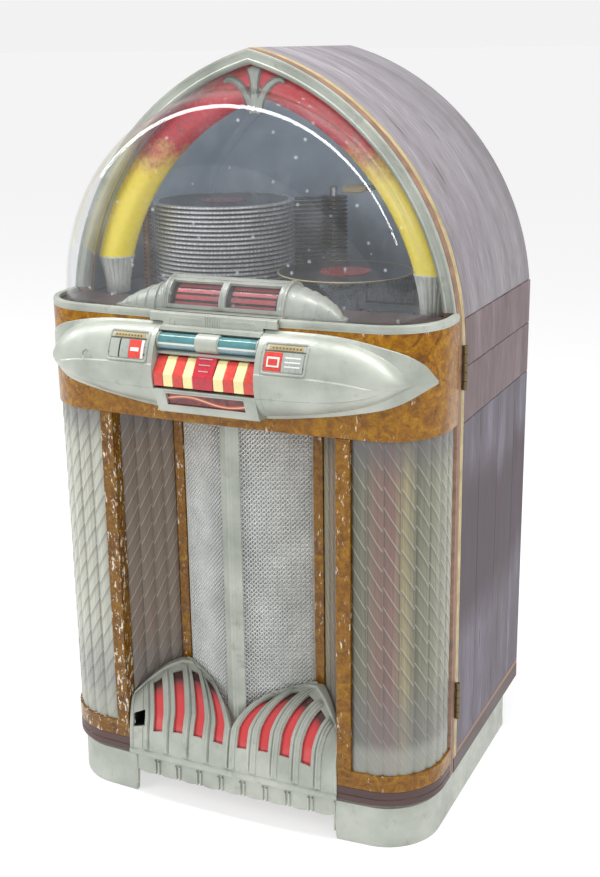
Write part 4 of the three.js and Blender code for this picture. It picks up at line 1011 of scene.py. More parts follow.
def lower_works():
    """Speaker with a ribbed cone, and the valve amplifier on its chassis."""
    z, y0 = 430, 74.3
    cone = [(0, 48), (26, 52), (33, 60)]
    cone += [(lerp(38, 122, i / 12), lerp(58, 8, i / 12) + (1.2 if i % 2 else -0.4)) for i in range(13)]
    cone += [(128, 0.5), (150, 0), (150, 8), (134, 12), (58, 76), (48, 92), (48, 126), (46, 128), (0, 128)]
    make("speaker_cone", [(revolve(cone, (0, y0, z), "y", 64), BLACK)], "cabinet", ["speaker"])
    top = FLOOR_TOP + GAP + 78
    parts = [(box(-330, -40, 250, 400, FLOOR_TOP + GAP, top), STEEL)]
    for x in (-300, -245, -190, -135):
        valve = [(0, top), (16, top), (16, top + 14), (14, top + 18), (16.5, top + 30), (16.5, top + 60),
                 (10, top + 76), (4, top + 82), (0, top + 82)]
        parts.append((revolve(valve, (x, 285, 0), sides=28), CUP))
        parts.append((disc(18, x, 285, top, top + 8), BLACK))
    for x0, x1, y0b, high in ((-310, -220, 325, 88), (-190, -110, 330, 70)):
        parts.append((box(x0, x1, y0b, 390, top - 1, top + high), BLACK))
        parts.append((box(x0 + 8, x1 - 8, y0b - 6, y0b + 1, top + 8, top + high - 8), BRASS))
    make("amplifier", parts, "cabinet", ["amplifier_chassis"], bevel=1.5)


# ---- record changer -------------------------------------------------------------------------
def tray_solids(z):
    """One tray: a silver hoop round a record, the fan-shaped arm and its hub on the post."""
    cx, cy = STACK
    px, py = TRAY_POST
    ring = hoop([(128.5 + r, z + h) for r, h in
                 ((0, 1.2), (0.6, 0), (9.8, 0), (11.5, 1.4), (11.5, 3.2), (9.6, 4.2), (0, 4.2))], cx, cy)
    groove = grained(disc(RECORD_RADIUS, cx, cy, z + 1.6, z + 3.4, 72, 0.5),
                     lambda p: ((p[0] - cx) * MM, (p[1] - cy) * MM, 0))
    label = disc(48, cx, cy, z + 1.4, z + 3.9, 40, 0.3)
    angle = math.atan2(cy - py, cx - px)
    reach = math.hypot(cx - px, cy - py) - TRAY_RADIUS
    outline = []
    for s, w in ((10, 20), (26, 15.5), (reach * 0.5, 14.5), (reach + 4, 17), (reach + 11, 19)):
        outline.append((s, w))
    outline += [(s, -w) for s, w in outline[::-1]]
    c, s = math.cos(angle), math.sin(angle)
    arm = prism([(px + u * c - v * s, py + u * s + v * c) for u, v in outline], z + 0.3, z + 2.9)
    hub_edge = ((10, 0.2), (25, 0.2), (27, 1.4), (27, 3.8), (25, 5), (10, 5))
    hub = hoop([(r, z + h) for r, h in hub_edge], px, py, 36)
    return [(ring, TRAY), (groove, VINYL), (label, CRIMSON), (arm, BRONZE), (hub, BRONZE)]


def record_changer():
    trays = []
    for i in range(TRAY_COUNT - 1):
        trays += tray_solids(STACK_BOTTOM + i * TRAY_PITCH)
    make("tray_stack", trays, "cabinet", ["record_magazine"])
    make("moving_tray", tray_solids(STACK_TOP), "record_tray", ["record_tray"])
    tx, ty = TURNTABLE
    z = 1012
    platter = revolve([(0, z), (92, z), (96, z + 2), (96, z + 6), (94, z + 8), (0, z + 8)], (tx, ty, 0),
                      sides=72)
    edge = [(0, z + 8), (126, z + 8), (127, z + 9), (126, z + 10), (52, z + 10), (51, z + 9.8), (0, z + 9.8)]
    vinyl = grained(revolve(edge, (tx, ty, 0), sides=96), lambda p: ((p[0] - tx) * MM, (p[1] - ty) * MM, 0))
    rim = hoop([(124.2, z + 9.2), (126.9, z + 8.6), (127.0, z + 9.8), (124.4, z + 10.4)], tx, ty, 96)
    label = disc(48, tx, ty, z + 9.8, z + 10.6, 48, 0.2)
    spindle = revolve([(0, z + 9), (4, z + 9), (4, z + 14), (2.6, z + 16.4), (0, z + 17)], (tx, ty, 0),
                      sides=20)
    make("platter", [(platter, STEEL), (vinyl, VINYL), (rim, CREAM), (label, RED), (spindle, STEEL)],
         "turntable_platter", ["turntable_platter"])
    lift = revolve([(0, 838), (26, 838), (26, 968), (30, 976), (50, 994), (52, 998), (52, 1010), (0, 1010)],
                   (tx, ty, 0), sides=48)
    make("lift_column", [(lift, STEEL)], "turntable_lift", ["turntable_lift"])
    tonearm()


def tonearm():
    """Curved arm with a cream head, a counterweight and a collar on the post."""
    ax, ay = TONEARM_POST
    z = 1164
    park = math.radians(183)
    c, s = math.cos(park), math.sin(park)

    def turn(p):
        return ax + p.x * c - p.y * s, ay + p.x * s + p.y * c, z + p.z

    beam = pipe([(-10, 0, 0), (20, 0, 0.8), (60, 0, 1.2), (100, 0, 0.4), (126, 0, -1)],
                [5.2, 5.6, 5.2, 4.4, 4.2], 14)
    outline = ((-1, 0.15), (-0.8, 0), (0.8, 0), (1, 0.15), (1, 0.7), (0.6, 1), (-0.6, 1), (-1, 0.7))
    stations = ((117, 6, -6, 3.5), (124, 11, -9, 4.5), (140, 13, -10.2, 4.4), (156, 12, -10.2, 3.2),
                (163, 8, -9, 1))
    head = loft([[(x, w * a, h0 + (h1 - h0) * b) for a, b in outline] for x, w, h0, h1 in stations])
    weight = revolve([(0, -14), (13, -14), (15, -12), (15, 10), (13, 12), (0, 12)], (-26, 0, 0), "x", 32)
    collar = revolve([(0, -12), (15.4, -12), (16, -10), (16, 7), (14, 9), (0, 9)], (0, 0, 0), "z", 36)
    needle = pipe([(146, 0, -9), (148, 0, -13)], [1.2, 0.4], 8)
    parts = [(moved(beam, turn), BRASS), (moved(head, turn), CREAM), (moved(weight, turn), BLACK),
             (moved(collar, turn), STEEL), (moved(needle, turn), STEEL)]
    make("pickup_arm", parts, "tonearm", ["tonearm"])


def mechanism():
    """Deck of the changer: posts, comb, motor with fins, gear case, levers and springs."""
    z0, z1 = 916.3, 926
    px, py = TRAY_POST
    tx, ty = TURNTABLE
    board = prism([(-330, 40), (330, 40), (330, 400), (-330, 400)], z0, z1, "z", [circle(tx, ty, 34, 36)])
    parts = [(board, SLATE_PAINTED_LIGHT)]
    pin = [(0, z1), (9, z1), (9, STACK_TOP + 22), (6, STACK_TOP + 26), (0, STACK_TOP + 26)]
    parts.append((revolve(pin, (px, py, 0), sides=24), STEEL))
    ax, ay = TONEARM_POST
    post = [(0, z1), (22, z1), (22, z1 + 6), (13, z1 + 12), (11, z1 + 20), (11, 1130), (13, 1134),
            (13, 1149), (0, 1150)]
    parts.append((revolve(post, (ax, ay, 0), sides=28), SILVER))
    bx, by = -290, 96
    rail = box(bx - 6, bx + 6, by - 8, by + 8, z1 - 1, STACK_TOP + 18)
    parts.append((rail, EDGE_WOOD))
    for i in range(TRAY_COUNT):
        z = STACK_BOTTOM + i * TRAY_PITCH
        # painted shade: black pegs in the comb's face stand for its holes, one under each tray.
        parts.append((pipe([(bx - 2, by - 8.9, z - 1.6), (bx - 2, by - 7, z - 1.6)], 1.7, 10), PAINTED_SHADE_BLACK))
        parts.append((box(bx + 5, bx + 13, by - 3, by + 3, z - 3.4, z - 1.2), STEEL))
    fins = [(0, z1)]
    for k in range(11):
        h = z1 + 4 + k * 7.4
        fins += [(42, h), (42, h + 3.4), (37, h + 3.6), (37, h + 7.2)]
    fins += [(20, z1 + 92), (0, z1 + 92)]
    parts.append((revolve(fins, (250, 330, 0), sides=36), BLACK))
    parts.append((box(90, 200, 300, 380, z1 - 1, z1 + 60), BLACK))
    parts.append((box(96, 194, 294, 301, z1 + 6, z1 + 52), STEEL))
    for k in range(4):
        parts += [(moved(solid, lambda p, k=k: (p.x + 104 + k * 27, 294 - p.y, p.z + z1 + 14)), m)
                  for solid, m in screw(0, 0, 0)]
    coil = [(60 + 5 * math.cos(a * 0.7), 360 + 5 * math.sin(a * 0.7), z1 + 3 + a * 0.55) for a in range(90)]
    parts.append((pipe(coil, 0.9, 6), STEEL))
    for x, y, length, turn in ((188, 176, 96, 12), (300, 150, 70, -20), (215, 92, 88, 5), (300, 96, 60, 40)):
        c, s = math.cos(math.radians(turn)), math.sin(math.radians(turn))
        lever = moved(box(0, length, -7, 7, 0, 3),
                      lambda p: (x - 60 + p.x * c - p.y * s, y + p.x * s + p.y * c, z1 + 8 + p.z))
        parts.append((lever, STEEL))
        parts.append((disc(8, x - 60, y, z1 - 0.5, z1 + 13, 24), BRASS))
    parts.append((box(262, 326, 168, 214, z1 - 0.5, z1 + 34), BLACK))
    parts.append((box(196, 236, 60, 82, z1 - 0.5, z1 + 22), PALE_TEAL))
    parts.append((box(246, 316, 58, 80, z1 - 0.5, z1 + 16), STEEL))
    make("changer_deck", parts, "cabinet", ["mechanism_plate"], bevel=0.8)


def arch_light():
    """Glowing arch tube, its two fluted cups and the three-plume ornament at the crown."""
    section = circle(TUBE_INSET, TUBE_Y, TUBE_RADIUS)
    make("arch_tube_lit", [(arch_sweep(section, CUP_TOP + GAP, 48), ARCH)], "cabinet",
         ["arch_tube"])
    for name, side in SIDES:
        x, _ = arch_point(0, TUBE_INSET, CUP_TOP)
        profile = [(0, 0), (20, 0), (23, 2), (24.5, 24), (29, 48), (34, 67), (35.5, 70), (35.5, 72),
                   (33, 73), (30, 73), (26, 62), (0, 58)]

        def fluting(a, h):
            depth = 0.10 if 2 < h < 69 else 0.03
            return 1 - depth * (0.5 + 0.5 * math.cos(20 * a)) ** 3

        cup = revolve(profile, (side * x, TUBE_Y, CUP_BOTTOM), "z", 160, fluting)
        make(f"cup_{name}", [(cup, CUP)], "cabinet", [f"tube_cup_{name}"], crease=60)

    def plume(side, grow=0.0, proud=1.0):
        path = [(4 * side, 1312), (8 * side, 1324), (13 * side, 1337), (20 * side, 1350), (30 * side, 1361),
                (42 * side, 1368), (52 * side, 1369.5), (59 * side, 1365)]
        widths = [6.4, 5.6, 4.8, 4.4, 4.0, 3.6, 3.2, 2.2]
        rings = []
        for i, (x, z) in enumerate(path):
            x1, z1 = path[min(i + 1, len(path) - 1)]
            x0, z0 = path[max(i - 1, 0)]
            length = math.hypot(x1 - x0, z1 - z0)
            nx, nz = -(z1 - z0) / length, (x1 - x0) / length
            w = widths[i] + grow
            rings.append([(x + nx * w * u, y * proud, z + nz * w * u) for u, y in
                          ((-1, 0), (-1, -3), (-0.55, -4.5), (0, -3.4), (0.55, -5.6), (1, -3.4), (1, 0))])
        return loft(rings)

    def stem(grow=0.0, proud=1.0):
        rings = []
        for z, w, d in ((1312, 9, 4.6), (1324, 8.6, 5), (1336, 6.6, 5), (1350, 5.6, 5), (1364, 6, 5.2),
                        (1376, 8, 5.4), (1384, 11, 5.6), (1388, 11.4, 5.8), (1391, 8, 4.6)):
            rings.append([((w + grow) * u, -d * v * proud, z) for u, v in
                          ((-1, 0), (-1, 0.6), (-0.5, 1), (-0.12, 0.7), (0.12, 0.7), (0.5, 1), (1, 0.6),
                           (1, 0))])
        return loft(rings)

    # The stem and each plume sit on a wider, flatter copy in the shaded silver: a painted shadow round the
    # ornament's outline.
    edge = 3.0
    parts = [(stem(), SILVER), (plume(1), SILVER), (plume(-1), SILVER), (stem(edge, 0.45), SILVER_PAINTED_SHADE),
             (plume(1, edge, 0.45), SILVER_PAINTED_SHADE), (plume(-1, edge, 0.45), SILVER_PAINTED_SHADE)]
    parts.append((prism(rounded(-15, 15, 1344, 1349, 2), -4.2, -2, "y"), SILVER_PAINTED_SHADE))
    make("crown_plumes", parts, "cabinet", ["arch_ornament"], crease=28)


# ---- door: frame, dome and waist ------------------------------------------------------------
def door_frame():
    """Flat frame behind the door: a brown edge all the way round the arch."""
    section = [(0.6, FRAME_FRONT + 0.6), (0.6, -13.4), (1.4, -12.8), (1.4, -11.4), (0.5, -10.8),
               (0.5, DOOR_BACK), (FRAME_REACH - 1, DOOR_BACK), (FRAME_REACH - 1, FRAME_FRONT),
               (1.2, FRAME_FRONT)]
    ring = arch_sweep(section, SHELL_BOTTOM, 56)
    foot = box(-360, 360, FRAME_FRONT, DOOR_BACK, SHELL_BOTTOM, 126)
    make("door_edge", [(ring, EDGE_WOOD), (foot, EDGE_WOOD)], "front_door",
         ["door_back_frame"], crease=45)


def waistband():
    face = bow_sweep([(1.0, WAIST_BOTTOM), (0.25, WAIST_BOTTOM + 0.6), (0, WAIST_BOTTOM + 1.8),
                      (0, WAIST_TOP - 1.2), (0.5, WAIST_TOP), (13, WAIST_TOP), (13, WAIST_BOTTOM)])
    soffit = prism(bow_full(7), WAIST_BOTTOM + 0.4, WAIST_BOTTOM + 7)
    make("waist_veneer", [(face, BURL), (soffit, BURL)], "front_door", ["waistband"],
         crease=45)


def dome_frame():
    """Silver arch of the door face: outer bead, flat land, groove and the lip that holds the dome."""
    f = FRAME_FRONT
    lip = FRAME_REACH
    section = [(2, f - GAP), (2, f - 5), (2.8, f - 6.6), (4.5, f - 7), (7, f - 6.4), (8, f - 5.6),
               (lip - 9.6, f - 5.6),
               (lip - 8.8, f - 6.4), (lip - 7.6, f - 7), (lip - 6.2, f - 6.4), (lip - 2.6, f - 3.4),
               (lip, f + 1), (lip, -9), (lip - 0.8, -9), (lip - 0.8, f - GAP)]
    make("dome_surround", [(arch_sweep(section, SILL_TOP + GAP, 64), SILVER)], "front_door",
         ["dome_frame"], crease=28)


def dome_sill():
    """Silver sill with a rolled edge, and the dark deck inside it."""
    rim = bow_sweep([(0.2, WAIST_TOP + GAP), (-0.0, WAIST_TOP + 1.6), (0.6, WAIST_TOP + 2.6),
                     (0.6, WAIST_TOP + 4.2),
                     (0, WAIST_TOP + 5), (0, SILL_TOP - 3.2), (1.2, SILL_TOP - 0.9), (3.6, SILL_TOP),
                     (9, SILL_TOP), (11.5, SILL_TOP - 1.4), (11.5, WAIST_TOP + GAP)])
    hole = [(-112, DRUM_Y - 46), (112, DRUM_Y - 46), (112, DRUM_Y + 46), (-112, DRUM_Y + 46)]
    deck = prism(bow_full(11), WAIST_TOP + GAP, DOME_FOOT - GAP, "z", [hole])
    make("sill_and_deck", [(rim, SILVER), (deck, DECK)], "front_door", ["dome_sill"],
         crease=40)


def dome_rim(phi, round_off=0.01):
    """Distance from the middle of the dome's notch to its pointed rim, in the direction phi."""
    r = ARCH_RADIUS - DOME_INSET
    rise = DOME_NOTCH_TOP - ARCH_CENTRE_Z
    half = ARCH_CENTRE_X * math.hypot(math.cos(phi), round_off) + rise * math.sin(phi)
    return -half + math.sqrt(half * half + r * r - ARCH_CENTRE_X ** 2 - rise ** 2)


def dome_point(rho, phi, shrink):
    """Point of the dome: rho runs from the middle of the front (0) to the rim (1), phi from side to side.
    The rim is the pointed arch, and the sections turn into a round arch in front of it."""
    up = max(0.0, math.sin(phi)) ** 0.8
    p, q = lerp(8.6, 9.4, up), lerp(3.1, 3.0, up)
    wide, tall = dome_rim(0), dome_rim(math.pi / 2) * 0.92
    round_arch = 1 / math.hypot(math.cos(phi) / wide, math.sin(phi) / tall)
    depth = 152 * (1 - rho ** p) ** (1 / q)
    pointed = dome_rim(phi, 0.01 + 0.35 * smooth(depth / 60))
    reach = rho * lerp(round_arch, pointed, smooth(1 - depth / 120)) * (1 - shrink / wide)
    return reach * math.cos(phi), -10 - max(0, depth - shrink), DOME_NOTCH_TOP + reach * math.sin(phi)


def dome():
    """Clear dome in one moulded shell, with a skirt at each side of the notch for the title housing."""
    rhos = [math.sin(k * math.pi / 2) for k in steps(0.02, 1, 60)]
    phis = [0.0] + steps(0, math.pi, 120) + [math.pi]
    grids = []
    for shrink in (0, 2.5):
        grid = [[dome_point(rho, phi, shrink) for phi in phis] for rho in rhos]
        for row in grid:
            row[0] = (row[0][0], row[0][1], DOME_FOOT)
            row[-1] = (row[-1][0], row[-1][1], DOME_FOOT)
        grids.append(grid)

    def keep(r, c):
        return 0 < c < len(phis) - 2 or rhos[r] * dome_rim(0) > 127

    make("dome_shell", [(wall(*grids, keep), CLEAR)], "front_door", ["dome"], crease=70)


# ---- door: lower front ----------------------------------------------------------------------
def burl_frames():
    """Outer stile and rail in burl over a mahogany plinth band, on each side."""
    for name, side in SIDES:
        x0, x1 = STILE
        face = [(x, bow_y(x)) for x in (x0, x0 + 8, x1 - 8, x1)]
        stile = prism(face + [(x1, -143), (x0, -143)], RAIL_TOP - 1, WAIST_BOTTOM - GAP)
        rail = bow_sweep([(0.6, RAIL_BOTTOM), (0, RAIL_BOTTOM + 0.8), (0, RAIL_TOP - 1), (0.8, RAIL_TOP),
                          (16, RAIL_TOP), (16, RAIL_BOTTOM)], x0)
        plinth = bow_sweep([(1.2, SHELL_BOTTOM), (0.2, SHELL_BOTTOM + 0.6), (0.2, 103), (1.4, 104),
                            (1.4, 105.4), (0.2, 106.4),
                            (0.2, RAIL_BOTTOM - 0.6), (1.0, RAIL_BOTTOM), (16, RAIL_BOTTOM),
                            (16, SHELL_BOTTOM)], x0)
        finish = BURL_WORN if side > 0 else BURL_BATTERED
        parts = [(sided(stile, side), finish), (sided(rail, side), finish), (sided(plinth, side), MAHOGANY)]
        make(f"stile_and_rail_{name}", parts, "front_door", [f"burl_frame_{name}"], bevel=0.6)
        inner = box(INNER_STILE[0], INNER_STILE[1], RECESS_SIDE_Y + 1.5, RECESS_SIDE_Y + 21, 200,
                    WAIST_BOTTOM - GAP)
        make(f"inner_strip_{name}", [(sided(inner, side), BURL_WORN)], "front_door",
             [f"inner_stile_{name}"], bevel=1.2)


HATCH_PITCH = 37.0
HATCH_LEAN = 1.3
FLUTE_CELLS = 12
FLUTE_ROW = 4.0


def fluted(path_at, length, flutes, z0, z1, depth, thickness):
    """Ribbed plastic sheet: path_at(s, offset) gives the plan point; twisted steps run down every flute."""
    cols = flutes * FLUTE_CELLS
    rows = round((z1 - z0) / FLUTE_ROW)

    def offset(s, z):
        part = (s / length * flutes) % 1
        if s >= length - 1e-6:
            part = 1
        crown = math.sin(math.pi * part) ** 0.7
        twist = ((z / HATCH_PITCH) + HATCH_LEAN * part) % 1
        return depth * crown + 0.95 * crown * (1 - twist) - 0.2

    front, back, grain = [], [], []
    for z in steps(z0, z1, rows):
        front_row, back_row = [], []
        for s in steps(0, length, cols):
            front_row.append((*path_at(s, offset(s, z)), z))
            back_row.append((*path_at(s, -thickness), z))
        front.append(front_row)
        back.append(back_row)
    points, faces = wall(front, back)
    for z in steps(z0, z1, rows):
        grain += [(s / length, z * MM, (s / length * flutes) % 1) for s in steps(0, length, cols)]
    return points, faces, grain + grain


def pilasters():
    for name, side in SIDES:
        inset, start = 7.0, STILE[1] + 0.5
        r = CORNER_RADIUS - inset
        first = CORNER_X - start
        bend = r * math.pi / 2
        last = CORNER_Y - DOOR_EDGE
        total = first + bend - last

        def round_corner(s, out):
            if s <= first:
                x = start + s
                return x, bow_y(x, inset) - out
            if s <= first + bend:
                a = (s - first) / r
                return CORNER_X + (r + out) * math.sin(a), CORNER_Y - (r + out) * math.cos(a)
            return CORNER_X + r + out, CORNER_Y + (s - first - bend)

        sheet = fluted(round_corner, total, 8, RAIL_TOP + GAP, WAIST_BOTTOM - GAP, 2.6, 2.6)
        make(f"pilaster_bend_{name}", [(sided(sheet, side), PILASTER["outer", side])], "front_door",
             [f"pilaster_outer_{name}"], crease=62)
        x0, x1 = INNER_STILE[1] + 0.8, STILE[0] - 0.6
        y0, y1 = RECESS_SIDE_Y + 4, RECESS_OUTER_Y + 4
        slant = math.hypot(x1 - x0, y1 - y0)
        nx, ny = (y1 - y0) / slant, -(x1 - x0) / slant

        def across(s, out):
            t = s / slant
            swell = 5 * math.sin(math.pi * t)
            return lerp(x0, x1, t) + nx * out * 0.6, lerp(y0, y1, t) + swell + ny * out

        sheet = fluted(across, slant, 4, 200, WAIST_BOTTOM - GAP, 2.0, 2.6)
        make(f"pilaster_slant_{name}", [(sided(sheet, side), PILASTER["inner", side])], "front_door",
             [f"pilaster_inner_{name}"], crease=62)
        x, y = 302, -78
        barrel = [(0, 160), (6, 160), (6, 176), (42, 176), (44, 178), (44, 766), (42, 768), (6, 768),
                  (6, 782), (0, 782)]
        stripes = revolve(barrel, (side * x, y, 0), "z", 48)
        make(f"lamp_cylinder_{name}", [(stripes, YELLOW)], f"colour_cylinder_{name}",
             [f"colour_cylinder_{name}"], crease=40)


def recess_y(x):
    across = abs(x)
    if across < INNER_STILE[0]:
        return lerp(RECESS_MID_Y, RECESS_SIDE_Y, across / INNER_STILE[0])
    if across < INNER_STILE[1]:
        return RECESS_SIDE_Y
    return lerp(RECESS_SIDE_Y, RECESS_OUTER_Y, (across - INNER_STILE[1]) / (STILE[0] - INNER_STILE[1]))


def grille():
    """Crimped wire woven on the diagonal, in two flat halves that meet at a centre rib, over pale cloth."""
    pitch, radius, swing = 6.2, 1.25, 1.3
    z0, z1 = 178, WAIST_BOTTOM - 1
    edge = INNER_STILE[0] - 1
    slope = (RECESS_SIDE_Y - RECESS_MID_Y) / INNER_STILE[0]
    slant = math.hypot(1, slope)
    width = edge * slant
    half = pitch / math.sqrt(2)
    reach = int((z1 - z0) / half) + 2
    parts = []
    for side in (-1, 1):
        def crossing(i, j, out):
            across, z = (i - j) * half, z0 + (i + j) * half
            if not (0 <= across <= width and z0 <= z <= z1):
                return None
            x = across / slant
            return side * (x - out * slope / slant), RECESS_MID_Y + x * slope + 2.9 - out / slant, z

        for k in range(-reach, reach):
            for over in (1, -1):
                path = []
                for n in range(-reach, reach):
                    i, j = (n, k) if over > 0 else (k, n)
                    path.append(crossing(i, j, swing * over * (1 if (i + j) % 2 else -1)))
                path = [p for p in path if p]
                if len(path) > 1:
                    parts.append((pipe(path, radius, 4, up=(0, 1, 0)), WIRE))
        cloth = [(0, RECESS_MID_Y + 6), (side * edge, recess_y(edge) + 6),
                 (side * edge, recess_y(edge) + 5.2), (0, RECESS_MID_Y + 5.2)]
        parts.append((prism(cloth, z0, z1), CLOTH))
    make("grille_weave", parts, "front_door", ["speaker_grille"], crease=80)
    rib = [(-19, -134.2), (-19, -136), (-17, -137.4), (-8, -140.2), (-5.5, -142.2), (-3, -142.8),
           (0, -141.4), (3, -142.8), (5.5, -142.2), (8, -140.2), (17, -137.4), (19, -136), (19, -134.2),
           (0, -134.2)]
    make("rib_casting", [(prism(rib, 180, WAIST_BOTTOM - GAP), SILVER)], "front_door",
         ["centre_rib"], crease=25)


SHELL_SIDE_X = STILE[0] - 0.6
FLUTES = 5
CREST = [(95, 248), (118, 257), (147, 262), (175, 254), (200, 232), (SHELL_SIDE_X, 205)]


def crest_point(u):
    """Point of the crest at u, on a smooth curve spaced evenly between its knots."""
    knots = [i / (len(CREST) - 1) for i in range(len(CREST))]
    return (curve_through([(k, p[0]) for k, p in zip(knots, CREST)], u),
            curve_through([(k, p[1]) for k, p in zip(knots, CREST)], u))


def shell_point(u, v):
    """Point of the right fan: u runs outwards from the middle, v up from the foot. The fan rises straight
    before it leans outwards and back, so the two fans part at a valley."""
    crest_x, crest_z = crest_point(u)
    foot_x = SHELL_SIDE_X * u
    a = v * math.pi / 2
    back = 1 - math.cos(a)
    out = max(0.0, (back - 0.19) / 0.81) ** 1.15
    return Vector((
        lerp(foot_x, crest_x, out),
        lerp(bow_y(foot_x) - 1, recess_y(crest_x) - 1, back),
        SHELL_BOTTOM + (crest_z - SHELL_BOTTOM) * math.sin(a),
    ))


def shell_normal(u, v):
    step = 0.01
    v = clamp(v, step, 1 - step)
    u = clamp(u, step, 1 - step)
    along_u = shell_point(u + step, v) - shell_point(u - step, v)
    along_v = shell_point(u, v + step) - shell_point(u, v - step)
    normal = along_u.cross(along_v).normalized()
    return -normal if normal.y > 0 or (abs(normal.y) < 0.05 and normal.z < 0) else normal


def fan_relief(u, v, coin_side):
    """Height of the casting's face: stepped ridges between flutes, a rim along the crest and the valley."""
    f = (u * FLUTES) % 1 if u < 0.9985 else 0.0
    ridge = 5.0 * smooth(f / 0.05) * smooth((0.16 - f) / 0.03)
    second = 2.6 * smooth((f - 0.12) / 0.02) * smooth((0.30 - f) / 0.03)
    slope = 2.2 * smooth((f - 0.82) / 0.1) * smooth((1 - f) / 0.05)
    groove = 1.8 * smooth((f - 0.275) / 0.02) * smooth((0.33 - f) / 0.015)
    groove += 1.6 * smooth((f - 0.805) / 0.01) * smooth((0.835 - f) / 0.01)
    lift = max(ridge, second) + slope - groove
    if coin_side and u > 0.8 and f > 0.3:
        lift += 1.0
    lift *= 1 - smooth((v - 0.84) / 0.07)
    inside = smooth(u / 0.03) * smooth((1 - u) / 0.03)
    rim = (3.4 * smooth((v - 0.905) / 0.02) - 1.4 * smooth((v - 0.955) / 0.02)) * inside
    foot = 3.0 * smooth((0.052 - v) / 0.012)
    return (max(lift * smooth((v - 0.05) / 0.02), foot) + rim) * smooth((1.02 - v) / 0.03)


def shell_casting():
    """Fan casting: five flutes each side with slots over the red lens, and the coin return on the left."""
    local = [0.0, 0.02, 0.05, 0.085, 0.12, 0.14, 0.165, 0.2, 0.235, 0.27, 0.285, 0.30, 0.315, 0.328, 0.34,
             0.46, 0.58, 0.68, 0.80, 0.815, 0.825, 0.84, 0.9, 0.945, 0.975]
    us = [(k + f) / FLUTES for k in range(FLUTES) for f in local] + [0.999]
    vs = [0, 0.02, 0.038, 0.044, 0.05, 0.056, 0.07] + steps(0.09, 0.22, 4) + [0.235, 0.24]
    vs += steps(0.26, 0.80, 24) + [0.82, 0.825, 0.85, 0.875, 0.9, 0.915, 0.925, 0.94, 0.965, 0.985, 1.0]
    parts, lenses = [], []
    for side in (-1, 1):
        def held(p):
            return clamp(p.x, 0, SHELL_SIDE_X), p.y, max(SHELL_BOTTOM, p.z)

        def keep(r, c):
            u, v = (us[c] + us[c + 1]) / 2, (vs[r] + vs[r + 1]) / 2
            f = (u * FLUTES) % 1
            slot = u < 0.8 and 0.34 < f < 0.80 and 0.24 < v < 0.82
            mouth = side < 0 and u > 0.8 and 0.2 < f < 0.82 and 0.3 < v < 0.475
            return not (slot or mouth)

        front = [[held(shell_point(u, v) + shell_normal(u, v) * fan_relief(u, v, side < 0)) for u in us]
                 for v in vs]
        back = [[held(shell_point(u, min(v, 0.985)) - shell_normal(u, v) * 5) for u in us] for v in vs]
        back[0] = [(x, y, SHELL_BOTTOM) for x, y, _ in back[0]]
        parts.append((sided(wall(front, back, keep), side), SILVER))
        lens_us, lens_vs = steps(0.05, 0.78, 40), steps(0.2, 0.828, 20)
        layers = [[[held(shell_point(u, v) - shell_normal(u, v) * depth) for u in lens_us] for v in lens_vs]
                  for depth in (6.5, 8.5)]
        points, faces = wall(*layers)
        grain = [(u, v, 0) for v in lens_vs for u in lens_us]
        lenses.append((sided((points, faces, grain + grain), side), LENS))
    make("fan_casting", parts, "front_door", ["shell_casting"], crease=40)
    make("fan_lens", lenses, "front_door", ["shell_lens"])
    coin_works()


def coin_works():
    """Coin case, chute and cash box behind the left fan, the cup they feed, and black sheets in the cup that
    paint its shade.
    """
    steel = ((-236, -166, -60, -26, 560, 740), (-212, -184, -56, -30, 300, 561),
             (-236, -166, -60, -26, 120, 301), (-204, -179, -150, -59, 140, 148))
    brass = ((-236, -229, -63, -59, 570, 730), (-172, -166, -63, -59, 570, 730))
    # painted shade: black sheets line the cup's walls and floor.
    lining = ((-217, -215, -158, -90, 146, 188), (-181, -179, -158, -90, 146, 188),
              (-216, -180, -92, -90, 146, 188), (-216, -180, -140, -90, 187, 189),
              (-218, -178, -164, -90, 143, 146))
    parts = [(box(*size), finish) for finish, sizes in ((STEEL, steel), (BRASS, brass), (PAINTED_SHADE_BLACK, lining))
             for size in sizes]
    make("coin_works", parts, "front_door", ["coin_mechanism"], bevel=0.8)


# ---- selector -------------------------------------------------------------------------------
NOSE_TOP = [(0, 965), (190, 965), (262, 958), (331, 940), (366, 915), (TIP_X, 885)]
NOSE_FOOT = [(0, 810), (100, 810), (189, 820), (261, 832), (330, 850), (TIP_X, 879)]
BODY_TOP = [(98, 961), (200, 960), (267, 949.5), (310, 930), (338, 904), (352, 884)]
BODY_FOOT = [(98, 816), (190, 827), (261, 842), (310, 859), (338, 875), (352, 882)]
SPEAR_TOP = [(98, 899), (200, 898), (260, 893.5), (300, 886), (318, 881.5)]
SPEAR_FOOT = [(98, 857), (200, 859), (260, 865), (300, 874), (318, 880.5)]
BODY_TIP_X = 352
FULL_REACH = bow_y(0) - 5.8 - NOSE_Y


def nose_back(x):
    return bow_y(x) - 1.2


def body_reach(x):
    """How far the body of the nose stands out from the waistband."""
    t = clamp((x - 170) / (BODY_TIP_X - 170))
    fall = math.sqrt(max(0.0, 1 - t ** 2.5))
    return 6 + (FULL_REACH - 6) * fall + (bow_y(x) - bow_y(0)) * (1 - t)


def body_surface(x, z, lift=0.0):
    """Point on the upper or lower slope of the nose body, raised by lift."""
    x = abs(x)
    flange_y = nose_back(x) - 4
    top, foot = curve_through(BODY_TOP, x), curve_through(BODY_FOOT, x)
    if z >= RIDGE_Z:
        share = clamp((z - RIDGE_Z) / max(0.5, top - RIDGE_Z))
        out = (1 - share ** 1.75) ** (1 / 1.75)
    else:
        share = clamp((RIDGE_Z - z) / max(0.5, RIDGE_Z - foot))
        out = (1 - share ** 2.0) ** 0.5
    return flange_y - (body_reach(x) - 4) * out - lift


